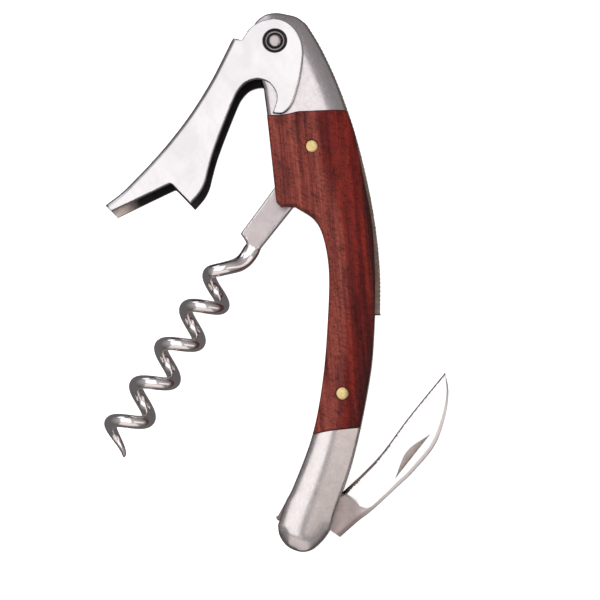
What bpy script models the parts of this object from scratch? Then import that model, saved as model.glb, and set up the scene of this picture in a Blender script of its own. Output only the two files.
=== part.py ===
"""Waiters corkscrew: curved handle, folded boot lever, forged worm and foil-cutter blade.

The tool lies on its rear scale. +X points to the blade's side of the handle, +Y to the nose and
+Z out of the front scale. Every outline is drawn in millimetres in the handle's mid plane, with
the levels above and below that plane, and meshes are made in metres. The rest pose has the lever,
the worm and the blade partly open. Each moving piece has its origin on its own joint axis.
"""

import math

import bmesh
import bpy
from mathutils import Matrix, Vector

MM = 0.001

# Place of the drawing's origin in the part's frame: the frame's origin is the bottom centre.
DATUM = (5.341, -4.374, 6.20)

# Pivots and fixings, in the mid plane.
LEVER_PIVOT = (-5.3, 57.4)
WORM_PIVOT = (2.9, 33.6)
BLADE_PIVOT = (1.4, -49.1)
SCALE_PIN = (9.5, -21.1)
SPRING_RIVETS = {"spring_rivet_upper": (4.0, 53.5), "spring_rivet_lower": (8.0, 43.6)}
LINER_RIVET = (9.0, 8.0)

# Levels measured from the mid plane.
SLOT_HALF = 1.55
SPRING_HALF = 1.50
LINER_OUT = 2.45
COVER_IN = 2.50
TOP_BOLSTER_OUT = 4.60
TAIL_BOLSTER_OUT = 6.10
SCALE_OUT = 6.20
LEVER_IN = 4.75
LEVER_OUT = 5.95
COUNTERBORE_FLOOR = 5.25
WASHER_IN = 5.28
WASHER_OUT = 5.80
AXLE_OUT = 6.12
BRASS_OUT = 6.15
SHANK_HALF = 1.40
BLADE_HALF = 1.05
EDGE_HALF = 0.12

# Radii.
AXLE_R = 1.40
AXLE_HOLE_R = 1.46
COUNTERBORE_R = 2.70
WASHER_R = 2.50
BRASS_R = 1.45
RIVET_R = 1.00
BLADE_PIN_R = 1.20
FIXED_HOLE_GAP = 0.04
RUNNING_GAP = 0.06
WEB_THICKNESS = 1.20

# Nose, and the arc that the lever's lobe sweeps in front of the scale.
NOSE_R = 6.95
LOBE_SWEEP_R = 16.75
JOINT_GAP = 0.06
TOP_JOINT_Y = 41.75
TOP_JOINT_LEFT = 263.9
TOP_JOINT_CORNER = 287.0
TAIL_JOINT = [(3.0, -30.0), (6.8, -29.2), (13.5, -28.4)]

# Points of a loop closer than this are one point.
SHORT = 0.05

# Worm: its axis runs beside the worm's pivot, on the lever's side.
WORM_DIRECTION = Vector((-0.5463, -0.8376, 0.0)).normalized()
WORM_SIDE = Vector((0.8376, -0.5463, 0.0)).normalized()
WORM_OFFSET = -1.10
WIRE_R = 1.50
HELIX_R = 3.30
PITCH = 10.15
HELIX_START = 33.30
HELIX_START_ANGLE = 120.0
HELIX_TURNS = 4.63
HELIX_STEPS_PER_TURN = 14
POINT_LENGTH = 11.0
POINT_R = 0.35
FIRST_COIL_SLACK = 1.05
LEAD_IN = [(-10.6, 12.0, 0.0), (-12.3, 9.6, 0.1), (-13.9, 8.1, 0.8), (-15.8, 7.1, 2.1)]
TANG_R = 4.80
SHANK_END = [
    (-9.1, 11.3), (-10.2, 9.4), (-11.8, 8.2), (-13.3, 8.7), (-13.1, 9.9), (-12.0, 11.3),
    (-11.8, 12.5), (-12.4, 13.6), (-13.2, 14.8),
]
SHANK_RIGHT = [(3.7, 27.4), (-1.3, 21.1), (-9.1, 11.3)]
SHANK_LEFT = [(-13.2, 14.8), (-5.7, 25.0)]

# Lever: its front and rear plates have one outline, and the web joins them along the outer edge.
LEVER_HEAD = [
    (-11.2, 60.0), (-9.5, 61.3), (-7.6, 62.1), (-5.6, 62.4), (-3.7, 62.1), (-1.9, 61.1),
    (-0.4, 59.5), (0.6, 57.4), (1.0, 55.2), (0.9, 52.9), (0.3, 48.9), (-0.4, 46.2), (-1.2, 43.7),
    (-2.4, 41.9), (-3.8, 41.05), (-5.8, 41.2),
]
LEVER_INNER = [
    (-5.8, 41.2), (-5.0, 43.4), (-4.9, 45.3), (-5.5, 46.7), (-6.4, 47.9), (-7.7, 48.6),
    (-9.0, 48.9), (-10.4, 48.7), (-11.9, 48.0), (-13.4, 46.4), (-14.4, 44.5), (-16.1, 40.3),
    (-17.9, 35.6), (-19.2, 31.8), (-20.1, 28.4), (-20.8, 25.7), (-22.0, 23.4), (-24.0, 21.1),
]
LEVER_NOTCH = [(-28.0, 25.3), (-28.45, 25.6), (-29.0, 25.4), (-41.6, 19.4)]
LEVER_WEB = [
    (-43.0, 20.8), (-39.6, 23.4), (-37.4, 25.5), (-33.0, 30.1), (-28.6, 35.2), (-24.1, 41.2),
    (-19.7, 48.3), (-16.5, 54.6), (-15.0, 57.7),
]
LEVER_SHOULDER = [(-14.5, 58.1), (-12.7, 57.6), (-11.6, 59.3)]
FOLD_ROUND = 1.1

# Blade: the spine and edge meet at the tip, and the ground faces stop at the plunge line.
BLADE_SPINE = [
    (32.1, -16.2), (32.8, -20.6), (32.0, -26.1), (29.7, -32.3), (25.1, -37.9), (22.0, -40.9),
    (15.9, -46.5), (12.8, -48.9), (8.8, -52.4),
]
BLADE_EDGE = [(9.1, -42.8), (10.1, -41.9), (14.1, -38.2), (18.4, -33.6), (24.0, -26.1), (32.1, -16.2)]
BLADE_TANG_R = 4.20
BLADE_KICK = (6.4, -50.7)
GRIND_HEEL = (9.4, -43.2)
GRIND_LINE = (22.0, -40.0)
GRIND_BOX = (34.0, 24.0, 4.0)
NICK_CHORD = [(28.8, -29.8), (20.9, -39.7)]
NICK_BULGE = (23.6, -33.6)
NICK_FLOOR = 0.35

# Sides of the handle, from the nose to the tail.
BACK_SIDE = [
    (-3.3, 64.06), (-2.1, 63.8), (-1.0, 63.5), (-0.15, 63.05), (0.75, 62.35), (1.6, 61.4),
    (4.6, 56.2), (7.9, 49.1), (10.5, 41.9), (12.4, 36.3), (14.6, 25.1), (16.2, 15.7), (16.75, 3.0),
    (16.25, -10.4), (15.35, -18.0), (13.35, -28.4), (11.0, -37.6), (7.6, -47.3),
]
TAIL_END = [
    (7.6, -47.3), (6.2, -51.5), (3.2, -54.8), (0.6, -55.6), (-2.4, -54.5), (-4.2, -52.2),
    (-4.6, -49.8),
]
BELLY_SIDE = [
    (-4.6, -49.8), (-2.95, -44.8), (-1.2, -41.3), (3.0, -30.0), (5.3, -17.6), (6.4, -4.0), (6.6, 6.0), (5.4, 13.3),
    (3.3, 17.6), (-0.9, 20.5),
]
LEFT_EDGE = [(-4.0, 20.4), (-5.0, 21.4), (-7.1, 40.9), (-7.9, 47.1)]
NECK = [(-7.9, 47.1), (-9.2, 50.8), (-10.7, 54.5)]
NOSE_LEFT = [
    (-10.94, 55.35), (-11.35, 57.4), (-11.13, 59.52), (-10.24, 61.55), (-9.17, 62.93),
    (-7.68, 63.93),
]

# The step over the worm's shank is higher on the rear half, for the thumb that lifts the worm.
REAR_STEP_LIFT = 1.9
STEP_FROM = 5.0
STEP_TO = 30.0

SPRING_BACK = [
    (1.2, 62.45), (2.0, 61.5), (4.9, 56.6), (8.2, 49.5), (10.9, 42.2), (12.9, 35.8), (14.9, 27.6), (16.3, 20.5),
    (17.3, 13.4), (17.9, 6.0), (17.9, -3.4),
]
SPRING_FRONT = [
    (13.9, -3.4), (13.4, 6.0), (12.3, 14.0), (10.6, 22.0), (8.7, 30.0), (7.7, 36.5), (5.9, 42.5),
    (4.1, 47.5), (2.0, 53.0), (0.8, 58.0),
]
BLADE_SPRING_BELLY = [
    (6.5, 13.0), (6.6, 6.0), (6.3, -4.0), (5.2, -17.6), (2.9, -30.0), (0.5, -37.2), (-1.3, -41.2),
    (-3.0, -44.5), (-4.75, -47.7),
]
BLADE_SPRING_INNER = [
    (-2.9, -47.0), (0.4, -42.4), (4.4, -35.6), (8.6, -28.0), (11.5, -21.1), (11.6, -13.0),
    (11.5, -3.0), (11.1, 6.0), (10.2, 12.6),
]


def smooth(points, steps=4):
    """Points along a Catmull-Rom curve through the given points."""
    knots = [Vector(p) for p in points]
    knots = [2 * knots[0] - knots[1]] + knots + [2 * knots[-1] - knots[-2]]
    curve = []
    for a, b, c, d in zip(knots, knots[1:], knots[2:], knots[3:]):
        for i in range(steps):
            t = i / steps
            curve.append(0.5 * (2 * b + (c - a) * t + (2 * a - 5 * b + 4 * c - d) * t * t
                                + (3 * b - a - 3 * c + d) * t * t * t))
    curve.append(knots[-2])
    return [(p.x, p.y) for p in curve]


def arc(centre, radius, start, end, steps):
    """Points on a circle from one angle to another, in degrees."""
    angles = [math.radians(start + (end - start) * i / steps) for i in range(steps + 1)]
    return [(centre[0] + radius * math.cos(a), centre[1] + radius * math.sin(a)) for a in angles]


def circle(centre, radius, steps=32):
    return arc(centre, radius, 0, 360, steps)[:-1]


def joined(*strokes):
    """One closed loop from strokes laid end to end, without repeated points."""
    loop = []
    for point in [p for stroke in strokes for p in stroke]:
        if not loop or math.dist(point, loop[-1]) > SHORT:
            loop.append(point)
    if math.dist(loop[0], loop[-1]) <= SHORT:
        loop.pop()
    return loop


def between(curve, low, high):
    """The stretch of a side curve whose Y lies between two levels, cut exactly at them."""
    cut = []
    for (x0, y0), (x1, y1) in zip(curve, curve[1:]):
        for level in sorted((low, high), reverse=y1 < y0):
            if min(y0, y1) < level < max(y0, y1):
                cut.append((x0 + (x1 - x0) * (level - y0) / (y1 - y0), level))
        if low <= y1 <= high:
            cut.append((x1, y1))
    return cut


def clear_scene():
    for obj in list(bpy.data.objects):
        bpy.data.objects.remove(obj)


def collection(name):
    group = bpy.data.collections.new(name)
    bpy.context.scene.collection.children.link(group)
    return group


def material(name, colour, roughness, metallic):
    mat = bpy.data.materials.new(name)
    mat.use_nodes = True
    shader = mat.node_tree.nodes["Principled BSDF"]
    shader.inputs["Base Color"].default_value = (*colour, 1.0)
    shader.inputs["Roughness"].default_value = roughness
    shader.inputs["Metallic"].default_value = metallic
    return mat


def shade(mesh, angle=30):
    mesh.shade_smooth()
    mesh.set_sharp_from_angle(angle=math.radians(angle))


def mesh_of_curve(curve_object):
    """The closed mesh of a curve object, with its caps welded on; the curve is removed."""
    bpy.context.view_layer.update()
    evaluated = curve_object.evaluated_get(bpy.context.evaluated_depsgraph_get())
    mesh = bpy.data.meshes.new_from_object(evaluated)
    bm = bmesh.new()
    bm.from_mesh(mesh)
    bmesh.ops.remove_doubles(bm, verts=bm.verts, dist=0.002 * MM)
    bmesh.ops.dissolve_limit(bm, angle_limit=math.radians(0.5), verts=bm.verts, edges=bm.edges)
    bmesh.ops.recalc_face_normals(bm, faces=bm.faces)
    bm.to_mesh(mesh)
    bm.free()
    bpy.data.objects.remove(curve_object)
    return mesh


def plate_mesh(name, loops, low, high):
    """A flat plate between two levels; the first loop is its outline, the rest are holes."""
    curve = bpy.data.curves.new(name, "CURVE")
    curve.dimensions = "2D"
    curve.fill_mode = "BOTH"
    curve.extrude = (high - low) / 2 * MM
    for loop in loops:
        spline = curve.splines.new("POLY")
        spline.points.add(len(loop) - 1)
        spline.use_cyclic_u = True
        for point, (x, y) in zip(spline.points, loop):
            point.co = (x * MM, y * MM, 0.0, 1.0)
    outline = bpy.data.objects.new(name, curve)
    bpy.context.scene.collection.objects.link(outline)
    mesh = mesh_of_curve(outline)
    mesh.transform(Matrix.Translation((0, 0, (low + high) / 2 * MM)))
    return mesh


def turned(name, centre, profile, closed=False, steps=32):
    """An object turned about a line along Z from (radius, level) points, outer side downwards."""
    mesh = bpy.data.meshes.new(name)
    points = [(radius * MM, 0.0, level * MM) for radius, level in profile]
    edges = [(i, i + 1) for i in range(len(points) - 1)]
    if closed:
        edges.append((len(points) - 1, 0))
    mesh.from_pydata(points, edges, [])
    obj = bpy.data.objects.new(name, mesh)
    obj.location = (centre[0] * MM, centre[1] * MM, 0.0)
    screw = obj.modifiers.new("Turn", "SCREW")
    screw.steps = screw.render_steps = steps
    screw.use_merge_vertices = True
    screw.merge_threshold = 0.00001
    return obj


def pin_profile(radius, reach, edge=0.1):
    """A round pin from -reach to +reach with small chamfered ends."""
    return [(0, reach), (radius - edge, reach), (radius, reach - edge), (radius, edge - reach),
            (radius - edge, -reach), (0, -reach)]


def object_from(name, mesh):
    return bpy.data.objects.new(name, mesh)


class Assembly:
    """The part's collections and the empties that its bodies hang from."""

    def __init__(self):
        self.parts = collection("waiters_corkscrew")
        self.guides = collection("cutters")
        self.datum = self.empty("datum", (0, 0), None)
        self.datum.location = [value * MM for value in DATUM]
        self.pivots = {"lever": LEVER_PIVOT, "worm": WORM_PIVOT, "blade": BLADE_PIVOT}
        self.axes = {body: self.empty(body + "_axis", place, self.datum)
                     for body, place in self.pivots.items()}

    def empty(self, name, place, parent):
        mark = bpy.data.objects.new(name, None)
        mark.location = (place[0] * MM, place[1] * MM, 0.0)
        mark.parent = parent
        self.parts.objects.link(mark)
        return mark

    def add(self, obj, mat, body=None):
        """Puts a piece in the part: on the handle, or on a moving body with its origin there."""
        self.parts.objects.link(obj)
        obj.data.materials.clear()
        obj.data.materials.append(mat)
        obj.parent = self.datum
        if body is not None:
            x, y = self.pivots[body]
            obj.data.transform(Matrix.Translation((-x * MM, -y * MM, 0.0)))
            obj.parent = self.axes[body]
        shade(obj.data)
        return obj

    def guide(self, obj):
        """A shape that only cuts or joins another one."""
        self.guides.objects.link(obj)
        obj.parent = self.datum
        obj.hide_render = True
        obj.display_type = "WIRE"
        return obj


def boolean(obj, other, operation):
    step = obj.modifiers.new(other.name, "BOOLEAN")
    step.operation = operation
    step.solver = "EXACT"
    step.object = other


def on_line(line):
    """A test of whether a point lies on an open line of (x, y) points."""
    def test(point):
        for (ax, ay), (bx, by) in zip(line, line[1:]):
            a, b, p = Vector((ax, ay)), Vector((bx, by)), Vector((point.x, point.y))
            along = max(0.0, min(1.0, (p - a).dot(b - a) / (b - a).length_squared))
            if (a + (b - a) * along - p).length < SHORT:
                return True
        return False
    return test


def soften(obj, levels, width, segments, chosen):
    """Bevels the edges at the given levels whose middle point is chosen."""
    bm = bmesh.new()
    bm.from_mesh(obj.data)
    weight = bm.edges.layers.float.new("bevel_weight_edge")
    for edge in bm.edges:
        for level in levels:
            at_level = all(abs(v.co.z - level * MM) < 0.001 * MM for v in edge.verts)
            if at_level and len(edge.link_faces) == 2 and edge.calc_face_angle() > 0.5:
                middle = (edge.verts[0].co + edge.verts[1].co) / 2 / MM
                edge[weight] = 1.0 if chosen(middle) else 0.0
    bm.to_mesh(obj.data)
    bm.free()
    bevel = obj.modifiers.new("Soft rim", "BEVEL")
    bevel.limit_method = "WEIGHT"
    bevel.width = width * MM
    bevel.segments = segments


def nose_line():
    """The nose from the neck to the start of the back."""
    return joined(smooth(NOSE_LEFT, 2), arc(LEVER_PIVOT, NOSE_R, 110, 74, 5))


def raised(points, lift):
    """A side's points, with those round the step higher by the lift."""
    return [(x, y + lift if STEP_FROM < y < STEP_TO else y) for x, y in points]


def handle_loop(lift):
    """The whole side view of the handle."""
    return joined(nose_line(), smooth(BACK_SIDE, 3), smooth(TAIL_END, 3),
                  smooth(raised(BELLY_SIDE, lift), 3), raised(LEFT_EDGE, lift), smooth(NECK, 3))


def top_joint(gap):
    """The arc between the top bolster and the scale that the lever's lobe passes."""
    return arc(LEVER_PIVOT, LOBE_SWEEP_R - gap, TOP_JOINT_LEFT, TOP_JOINT_CORNER, 8)


def tail_joint(gap):
    """The line between the scale and the tail bolster, from the belly to the back."""
    return [(x, y + gap) for x, y in smooth(TAIL_JOINT, 3)]


def scale_loop(lift):
    side = raised(BELLY_SIDE, lift)
    back = between(smooth(BACK_SIDE, 3), TAIL_JOINT[2][1], TOP_JOINT_Y)
    belly = between(smooth(side, 3), TAIL_JOINT[0][1], side[-1][1])
    return joined(top_joint(0), back, reversed(tail_joint(0)), belly, raised(LEFT_EDGE[:2], lift))


def top_bolster_loop():
    back = between(smooth(BACK_SIDE, 3), TOP_JOINT_Y + JOINT_GAP, BACK_SIDE[0][1])
    return joined(nose_line(), back, reversed(top_joint(JOINT_GAP)), LEFT_EDGE[3:],
                  smooth(NECK, 3))


def tail_bolster_loop():
    back = between(smooth(BACK_SIDE, 3), BACK_SIDE[-1][1], TAIL_JOINT[2][1] - JOINT_GAP)
    belly = between(smooth(BELLY_SIDE, 3), BELLY_SIDE[0][1], TAIL_JOINT[0][1] - JOINT_GAP)
    return joined(back, smooth(TAIL_END, 3), belly, tail_joint(-JOINT_GAP))


def sided(name, outlines, holes, low, high, rim_width, segments, sharp):
    """The front and rear plates of a pair, from the front outline and the rear one."""
    pair = []
    for side, sign, outline in zip(("front", "rear"), (1, -1), outlines):
        levels = sorted((sign * low, sign * high))
        obj = object_from(f"{name}_{side}", plate_mesh(name, [outline] + holes, *levels))
        if rim_width:
            on_joint = on_line(sharp)
            soften(obj, [sign * high], rim_width, segments, lambda middle: not on_joint(middle))
        pair.append(obj)
    return pair


def hole(centre, radius, gap=FIXED_HOLE_GAP):
    return circle(centre, radius + gap, 24)


def add_handle(part, steel, brass, wood):
    """Liners, bolsters, scales and everything riveted between them."""
    rivets = [hole(place, RIVET_R) for place in SPRING_RIVETS.values()]
    axle_hole = hole(LEVER_PIVOT, AXLE_R)
    worm_hole = hole(WORM_PIVOT, BRASS_R)
    pin_hole = hole(SCALE_PIN, BRASS_R)
    blade_hole = hole(BLADE_PIVOT, BLADE_PIN_R)
    liner_hole = hole(LINER_RIVET, RIVET_R)

    holes = [axle_hole, worm_hole, pin_hole, blade_hole, liner_hole] + rivets
    outlines = [handle_loop(0.0), handle_loop(REAR_STEP_LIFT)]
    for obj in sided("liner", outlines, holes, SLOT_HALF, LINER_OUT, 0, 0, None):
        part.add(obj, steel)
    sharp = top_joint(JOINT_GAP) + [(10.5, TOP_JOINT_Y + JOINT_GAP)]
    for obj in sided("top_bolster", [top_bolster_loop()] * 2, [axle_hole] + rivets,
                     COVER_IN, TOP_BOLSTER_OUT, 0.8, 2, sharp):
        part.add(obj, steel)
    for obj in sided("tail_bolster", [tail_bolster_loop()] * 2, [blade_hole],
                     COVER_IN, TAIL_BOLSTER_OUT, 1.4, 3, tail_joint(-JOINT_GAP)):
        part.add(obj, steel)
    sharp = top_joint(0) + [(10.55, TOP_JOINT_Y)]
    outlines = [scale_loop(0.0), scale_loop(REAR_STEP_LIFT)]
    for obj in sided("wood_scale", outlines, [worm_hole, pin_hole],
                     COVER_IN, SCALE_OUT, 1.2, 2, sharp):
        part.add(obj, wood)

    part.add(object_from("nose_block", plate_mesh("nose_block", [nose_block_loop(), axle_hole],
                                                  -SPRING_HALF, SPRING_HALF)), steel)
    worm_spring = [joined(smooth(SPRING_BACK, 3), smooth(SPRING_FRONT, 3))] + rivets
    part.add(object_from("worm_spring", plate_mesh("worm_spring", worm_spring,
                                                   -SPRING_HALF, SPRING_HALF)), steel)
    blade_spring = [blade_spring_loop(), pin_hole, liner_hole]
    part.add(object_from("blade_spring", plate_mesh("blade_spring", blade_spring,
                                                    -SPRING_HALF, SPRING_HALF)), steel)

    for name, place in SPRING_RIVETS.items():
        part.add(turned(name, place, pin_profile(RIVET_R, TOP_BOLSTER_OUT - 0.05)), steel)
    part.add(turned("liner_rivet", LINER_RIVET, pin_profile(RIVET_R, LINER_OUT)), steel)
    part.add(turned("blade_pivot_pin", BLADE_PIVOT,
                    pin_profile(BLADE_PIN_R, TAIL_BOLSTER_OUT - 0.05)), steel)
    part.add(turned("worm_pivot_pin", WORM_PIVOT, pin_profile(BRASS_R, BRASS_OUT)), brass)
    part.add(turned("scale_pin", SCALE_PIN, pin_profile(BRASS_R, BRASS_OUT)), brass)
    part.add(turned("lever_axle", LEVER_PIVOT, axle_profile()), steel)
    for side, sign in (("front", 1), ("rear", -1)):
        part.add(turned(f"lever_washer_{side}", LEVER_PIVOT, washer_profile(sign), closed=True),
                 steel)


def nose_block_loop():
    """The spacer round the axle: nose, split line along the worm spring, and neck."""
    split = [(x - 0.12, y) for x, y in reversed(smooth(SPRING_FRONT[-4:], 3))]
    return joined(nose_line(), smooth(BACK_SIDE[:5], 3), split, [(-1.0, 42.8), (-7.4, 46.2)],
                  smooth(NECK, 3)[1:])


def blade_spring_loop():
    end = [(-5.2, -47.9), (-5.1, -48.4), (-4.8, -48.8), (-4.2, -48.6)]
    return joined(smooth(BLADE_SPRING_BELLY, 3), end, smooth(BLADE_SPRING_INNER, 3))


def axle_profile():
    """A straight rivet with a dome at each end."""
    dome = [(0.0, AXLE_OUT), (0.75, AXLE_OUT - 0.08), (1.2, AXLE_OUT - 0.26), (AXLE_R, 5.6)]
    return dome + [(radius, -level) for radius, level in reversed(dome)]


def washer_profile(sign):
    """The section of a ring washer; the rear one is the front one turned over."""
    inner = AXLE_R + RUNNING_GAP
    section = [(inner, WASHER_OUT - 0.15), (inner + 0.3, WASHER_OUT), (WASHER_R - 0.3, WASHER_OUT),
               (WASHER_R, WASHER_OUT - 0.2), (WASHER_R, WASHER_IN), (inner, WASHER_IN)]
    if sign > 0:
        return section
    return [(radius, -level) for radius, level in reversed(section)]


def offset(curve, distance):
    """A line kept to the right of an open line at a distance."""
    moved = []
    for i, point in enumerate(curve):
        before, after = curve[max(i - 1, 0)], curve[min(i + 1, len(curve) - 1)]
        run = Vector((after[0] - before[0], after[1] - before[1])).normalized()
        moved.append((point[0] + run.y * distance, point[1] - run.x * distance))
    return moved


def add_lever(part, steel):
    """The folded lever: a block of its outline, hollowed between the plates up to the web."""
    web = smooth(LEVER_WEB, 3)
    outline = joined(smooth(LEVER_HEAD, 3), smooth(LEVER_INNER, 3), LEVER_NOTCH, web,
                     LEVER_SHOULDER)
    loops = [outline, circle(LEVER_PIVOT, AXLE_HOLE_R, 32)]
    lever = object_from("lever", plate_mesh("lever", loops, -LEVER_OUT, LEVER_OUT))
    soften(lever, [-LEVER_OUT, LEVER_OUT], FOLD_ROUND, 3, on_line(web))

    inner = offset(web, WEB_THICKNESS)
    start = (inner[0][0] - 4.0, inner[0][1] - 3.2)
    end = (inner[-1][0] + 1.0, inner[-1][1] + 12.0)
    hollow = joined([start], inner, [end, (12.0, 72.0), (12.0, 8.0)])
    room = part.guide(object_from("lever_room", plate_mesh("lever_room", [hollow],
                                                           -LEVER_IN, LEVER_IN)))
    boolean(lever, room, "DIFFERENCE")
    for name, low, high in (("front_seat", COUNTERBORE_FLOOR, 8.0),
                            ("rear_seat", -8.0, -COUNTERBORE_FLOOR)):
        seat = plate_mesh(name, [circle(LEVER_PIVOT, COUNTERBORE_R)], low, high)
        boolean(lever, part.guide(object_from(name, seat)), "DIFFERENCE")
    part.add(lever, steel, "lever")


def helix_points():
    """Centre points and radii of the wire, from inside the shank to the sharp point."""
    lead = smooth_3d([Vector(p) for p in LEAD_IN])
    steps = round(HELIX_TURNS * HELIX_STEPS_PER_TURN)
    pivot = Vector((*WORM_PIVOT, 0.0))
    coil = []
    for i in range(steps + 1):
        turns = HELIX_TURNS * i / steps
        angle = math.radians(HELIX_START_ANGLE) + turns * math.tau
        slack = FIRST_COIL_SLACK * max(0.0, 1.0 - turns / 1.1)
        along = WORM_DIRECTION * (HELIX_START + turns * PITCH + slack)
        centre = pivot + along + WORM_SIDE * WORM_OFFSET
        spoke = WORM_SIDE * math.cos(angle) + Vector((0, 0, 1)) * math.sin(angle)
        coil.append(centre + spoke * HELIX_R)
    points = lead + coil
    left = [0.0]
    for a, b in zip(reversed(points[:-1]), reversed(points[1:])):
        left.append(left[-1] + (a - b).length)
    left.reverse()
    radii = [POINT_R + (WIRE_R - POINT_R) * min(1.0, run / POINT_LENGTH) for run in left]
    return points, radii


def smooth_3d(points, steps=3):
    """Catmull-Rom points through a line in space, without its last point."""
    knots = [2 * points[0] - points[1]] + points + [2 * points[-1] - points[-2]]
    curve = []
    for a, b, c, d in zip(knots, knots[1:], knots[2:], knots[3:]):
        for i in range(steps):
            t = i / steps
            curve.append(0.5 * (2 * b + (c - a) * t + (2 * a - 5 * b + 4 * c - d) * t * t
                                + (3 * b - a - 3 * c + d) * t * t * t))
    return curve


def wire_mesh(name):
    curve = bpy.data.curves.new(name, "CURVE")
    curve.dimensions = "3D"
    curve.bevel_depth = WIRE_R * MM
    curve.bevel_resolution = 2
    curve.use_fill_caps = True
    points, radii = helix_points()
    spline = curve.splines.new("POLY")
    spline.points.add(len(points) - 1)
    for knot, place, radius in zip(spline.points, points, radii):
        knot.co = (*(place * MM), 1.0)
        knot.radius = radius / WIRE_R
    path = bpy.data.objects.new(name, curve)
    bpy.context.scene.collection.objects.link(path)
    return mesh_of_curve(path)


def add_worm(part, steel):
    """The forged worm: a flat shank with a round tang, joined to the tapered wire helix."""
    tang = arc(WORM_PIVOT, TANG_R, 213, -40, 14)
    outline = joined(tang, SHANK_RIGHT, smooth(SHANK_END, 2), SHANK_LEFT)
    loops = [outline, circle(WORM_PIVOT, BRASS_R + RUNNING_GAP, 32)]
    worm = object_from("worm", plate_mesh("worm", loops, -SHANK_HALF, SHANK_HALF))
    helix = part.guide(object_from("helix", wire_mesh("helix")))
    boolean(worm, helix, "UNION")
    part.add(worm, steel, "worm")


def grind_cutter(part, name, sign):
    """A box whose floor is the ground face, from the cutting edge up to the spine's flat."""
    heel = Vector((*GRIND_HEEL, EDGE_HALF))
    tip = Vector((*BLADE_EDGE[-1], EDGE_HALF))
    flat = Vector((*GRIND_LINE, BLADE_HALF))
    along = (tip - heel).normalized()
    up = along.cross(flat - heel).normalized()
    if up.z < 0:
        up = -up
    across = up.cross(along)
    length, width, height = GRIND_BOX
    bm = bmesh.new()
    bmesh.ops.create_cube(bm, size=1.0)
    centre = heel + along * length / 2 - across * (width / 2 - 2.0) + up * height / 2
    turn = Matrix((along, across, up)).transposed().to_4x4()
    scale = Matrix.Diagonal((length, width, height, 1.0))
    bm.transform(Matrix.Translation(centre) @ turn @ scale)
    bmesh.ops.scale(bm, verts=bm.verts, vec=(MM, MM, sign * MM))
    bmesh.ops.recalc_face_normals(bm, faces=bm.faces)
    mesh = bpy.data.meshes.new(name)
    bm.to_mesh(mesh)
    bm.free()
    return part.guide(object_from(name, mesh))


def add_blade(part, steel):
    """The foil cutter: flat tang and spine, two ground faces and a nail nick in front."""
    tang = arc(BLADE_PIVOT, BLADE_TANG_R, -65, -285, 14)
    outline = joined(smooth(BLADE_SPINE, 3), [BLADE_KICK], tang, smooth(BLADE_EDGE, 3))
    loops = [outline, circle(BLADE_PIVOT, BLADE_PIN_R + RUNNING_GAP, 32)]
    blade = object_from("blade", plate_mesh("blade", loops, -BLADE_HALF, BLADE_HALF))
    for name, sign in (("front_grind", 1), ("rear_grind", -1)):
        boolean(blade, grind_cutter(part, name, sign), "DIFFERENCE")
    curve = smooth([NICK_CHORD[1], NICK_BULGE, NICK_CHORD[0]], 5)
    nick = plate_mesh("nail_nick", [curve], NICK_FLOOR, BLADE_HALF + 1.0)
    boolean(blade, part.guide(object_from("nail_nick", nick)), "DIFFERENCE")
    part.add(blade, steel, "blade")


def main():
    clear_scene()
    brushed = material("brushed_steel", (0.62, 0.60, 0.58), 0.34, 1.0)
    polished = material("polished_steel", (0.80, 0.79, 0.78), 0.16, 1.0)
    brass = material("brass", (0.86, 0.70, 0.34), 0.25, 1.0)
    wood = material("rosewood", (0.26, 0.06, 0.035), 0.42, 0.0)
    part = Assembly()
    add_handle(part, brushed, brass, wood)
    add_lever(part, polished)
    add_worm(part, polished)
    add_blade(part, polished)


main()
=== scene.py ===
import math

import bpy
import numpy as np
from mathutils import Matrix, Vector
from mathutils.geometry import delaunay_2d_cdt


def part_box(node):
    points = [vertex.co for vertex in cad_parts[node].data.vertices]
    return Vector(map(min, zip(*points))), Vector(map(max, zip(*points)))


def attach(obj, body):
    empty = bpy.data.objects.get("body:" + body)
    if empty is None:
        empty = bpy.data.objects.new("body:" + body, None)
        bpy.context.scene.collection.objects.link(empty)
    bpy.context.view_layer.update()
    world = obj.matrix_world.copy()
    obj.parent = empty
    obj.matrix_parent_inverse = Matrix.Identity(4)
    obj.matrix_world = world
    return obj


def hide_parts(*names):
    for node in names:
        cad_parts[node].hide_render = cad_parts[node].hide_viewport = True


# Looks of the waiters corkscrew. Outlines are in millimetres in the handle's mid plane, as in
# the CAD source. Every mesh is made in metres in the part's frame.
MM = 0.001

LEVER_PIVOT = (-5.3, 57.4)
WORM_PIVOT = (2.9, 33.6)
BLADE_PIVOT = (1.4, -49.1)
SCALE_PIN = (9.5, -21.1)
SPRING_RIVETS = [(4.0, 53.5), (8.0, 43.6)]
LINER_RIVET = (9.0, 8.0)

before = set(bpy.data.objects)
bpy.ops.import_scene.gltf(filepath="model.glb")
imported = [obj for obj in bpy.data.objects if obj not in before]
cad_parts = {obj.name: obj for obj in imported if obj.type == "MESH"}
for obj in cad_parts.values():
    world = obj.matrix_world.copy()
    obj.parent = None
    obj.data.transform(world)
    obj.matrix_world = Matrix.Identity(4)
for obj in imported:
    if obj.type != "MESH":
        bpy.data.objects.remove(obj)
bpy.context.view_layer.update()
axle_low, axle_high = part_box("lever_axle")
DATUM = (axle_low + axle_high) / 2 - Vector((*LEVER_PIVOT, 0.0)) * MM
ORIGIN = np.array(DATUM)
scene = bpy.context.scene

# Levels from the mid plane.
SLOT_HALF, SPRING_HALF, LINER_OUT, COVER_IN = 1.55, 1.5, 2.45, 2.5
TOP_BOLSTER_OUT, TAIL_BOLSTER_OUT, SCALE_OUT = 4.6, 6.1, 6.2
LEVER_IN, LEVER_OUT, SEAT = 4.75, 5.95, 5.25
SHANK_HALF, BLADE_HALF, EDGE_HALF = 1.4, 1.05, 0.12

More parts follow.
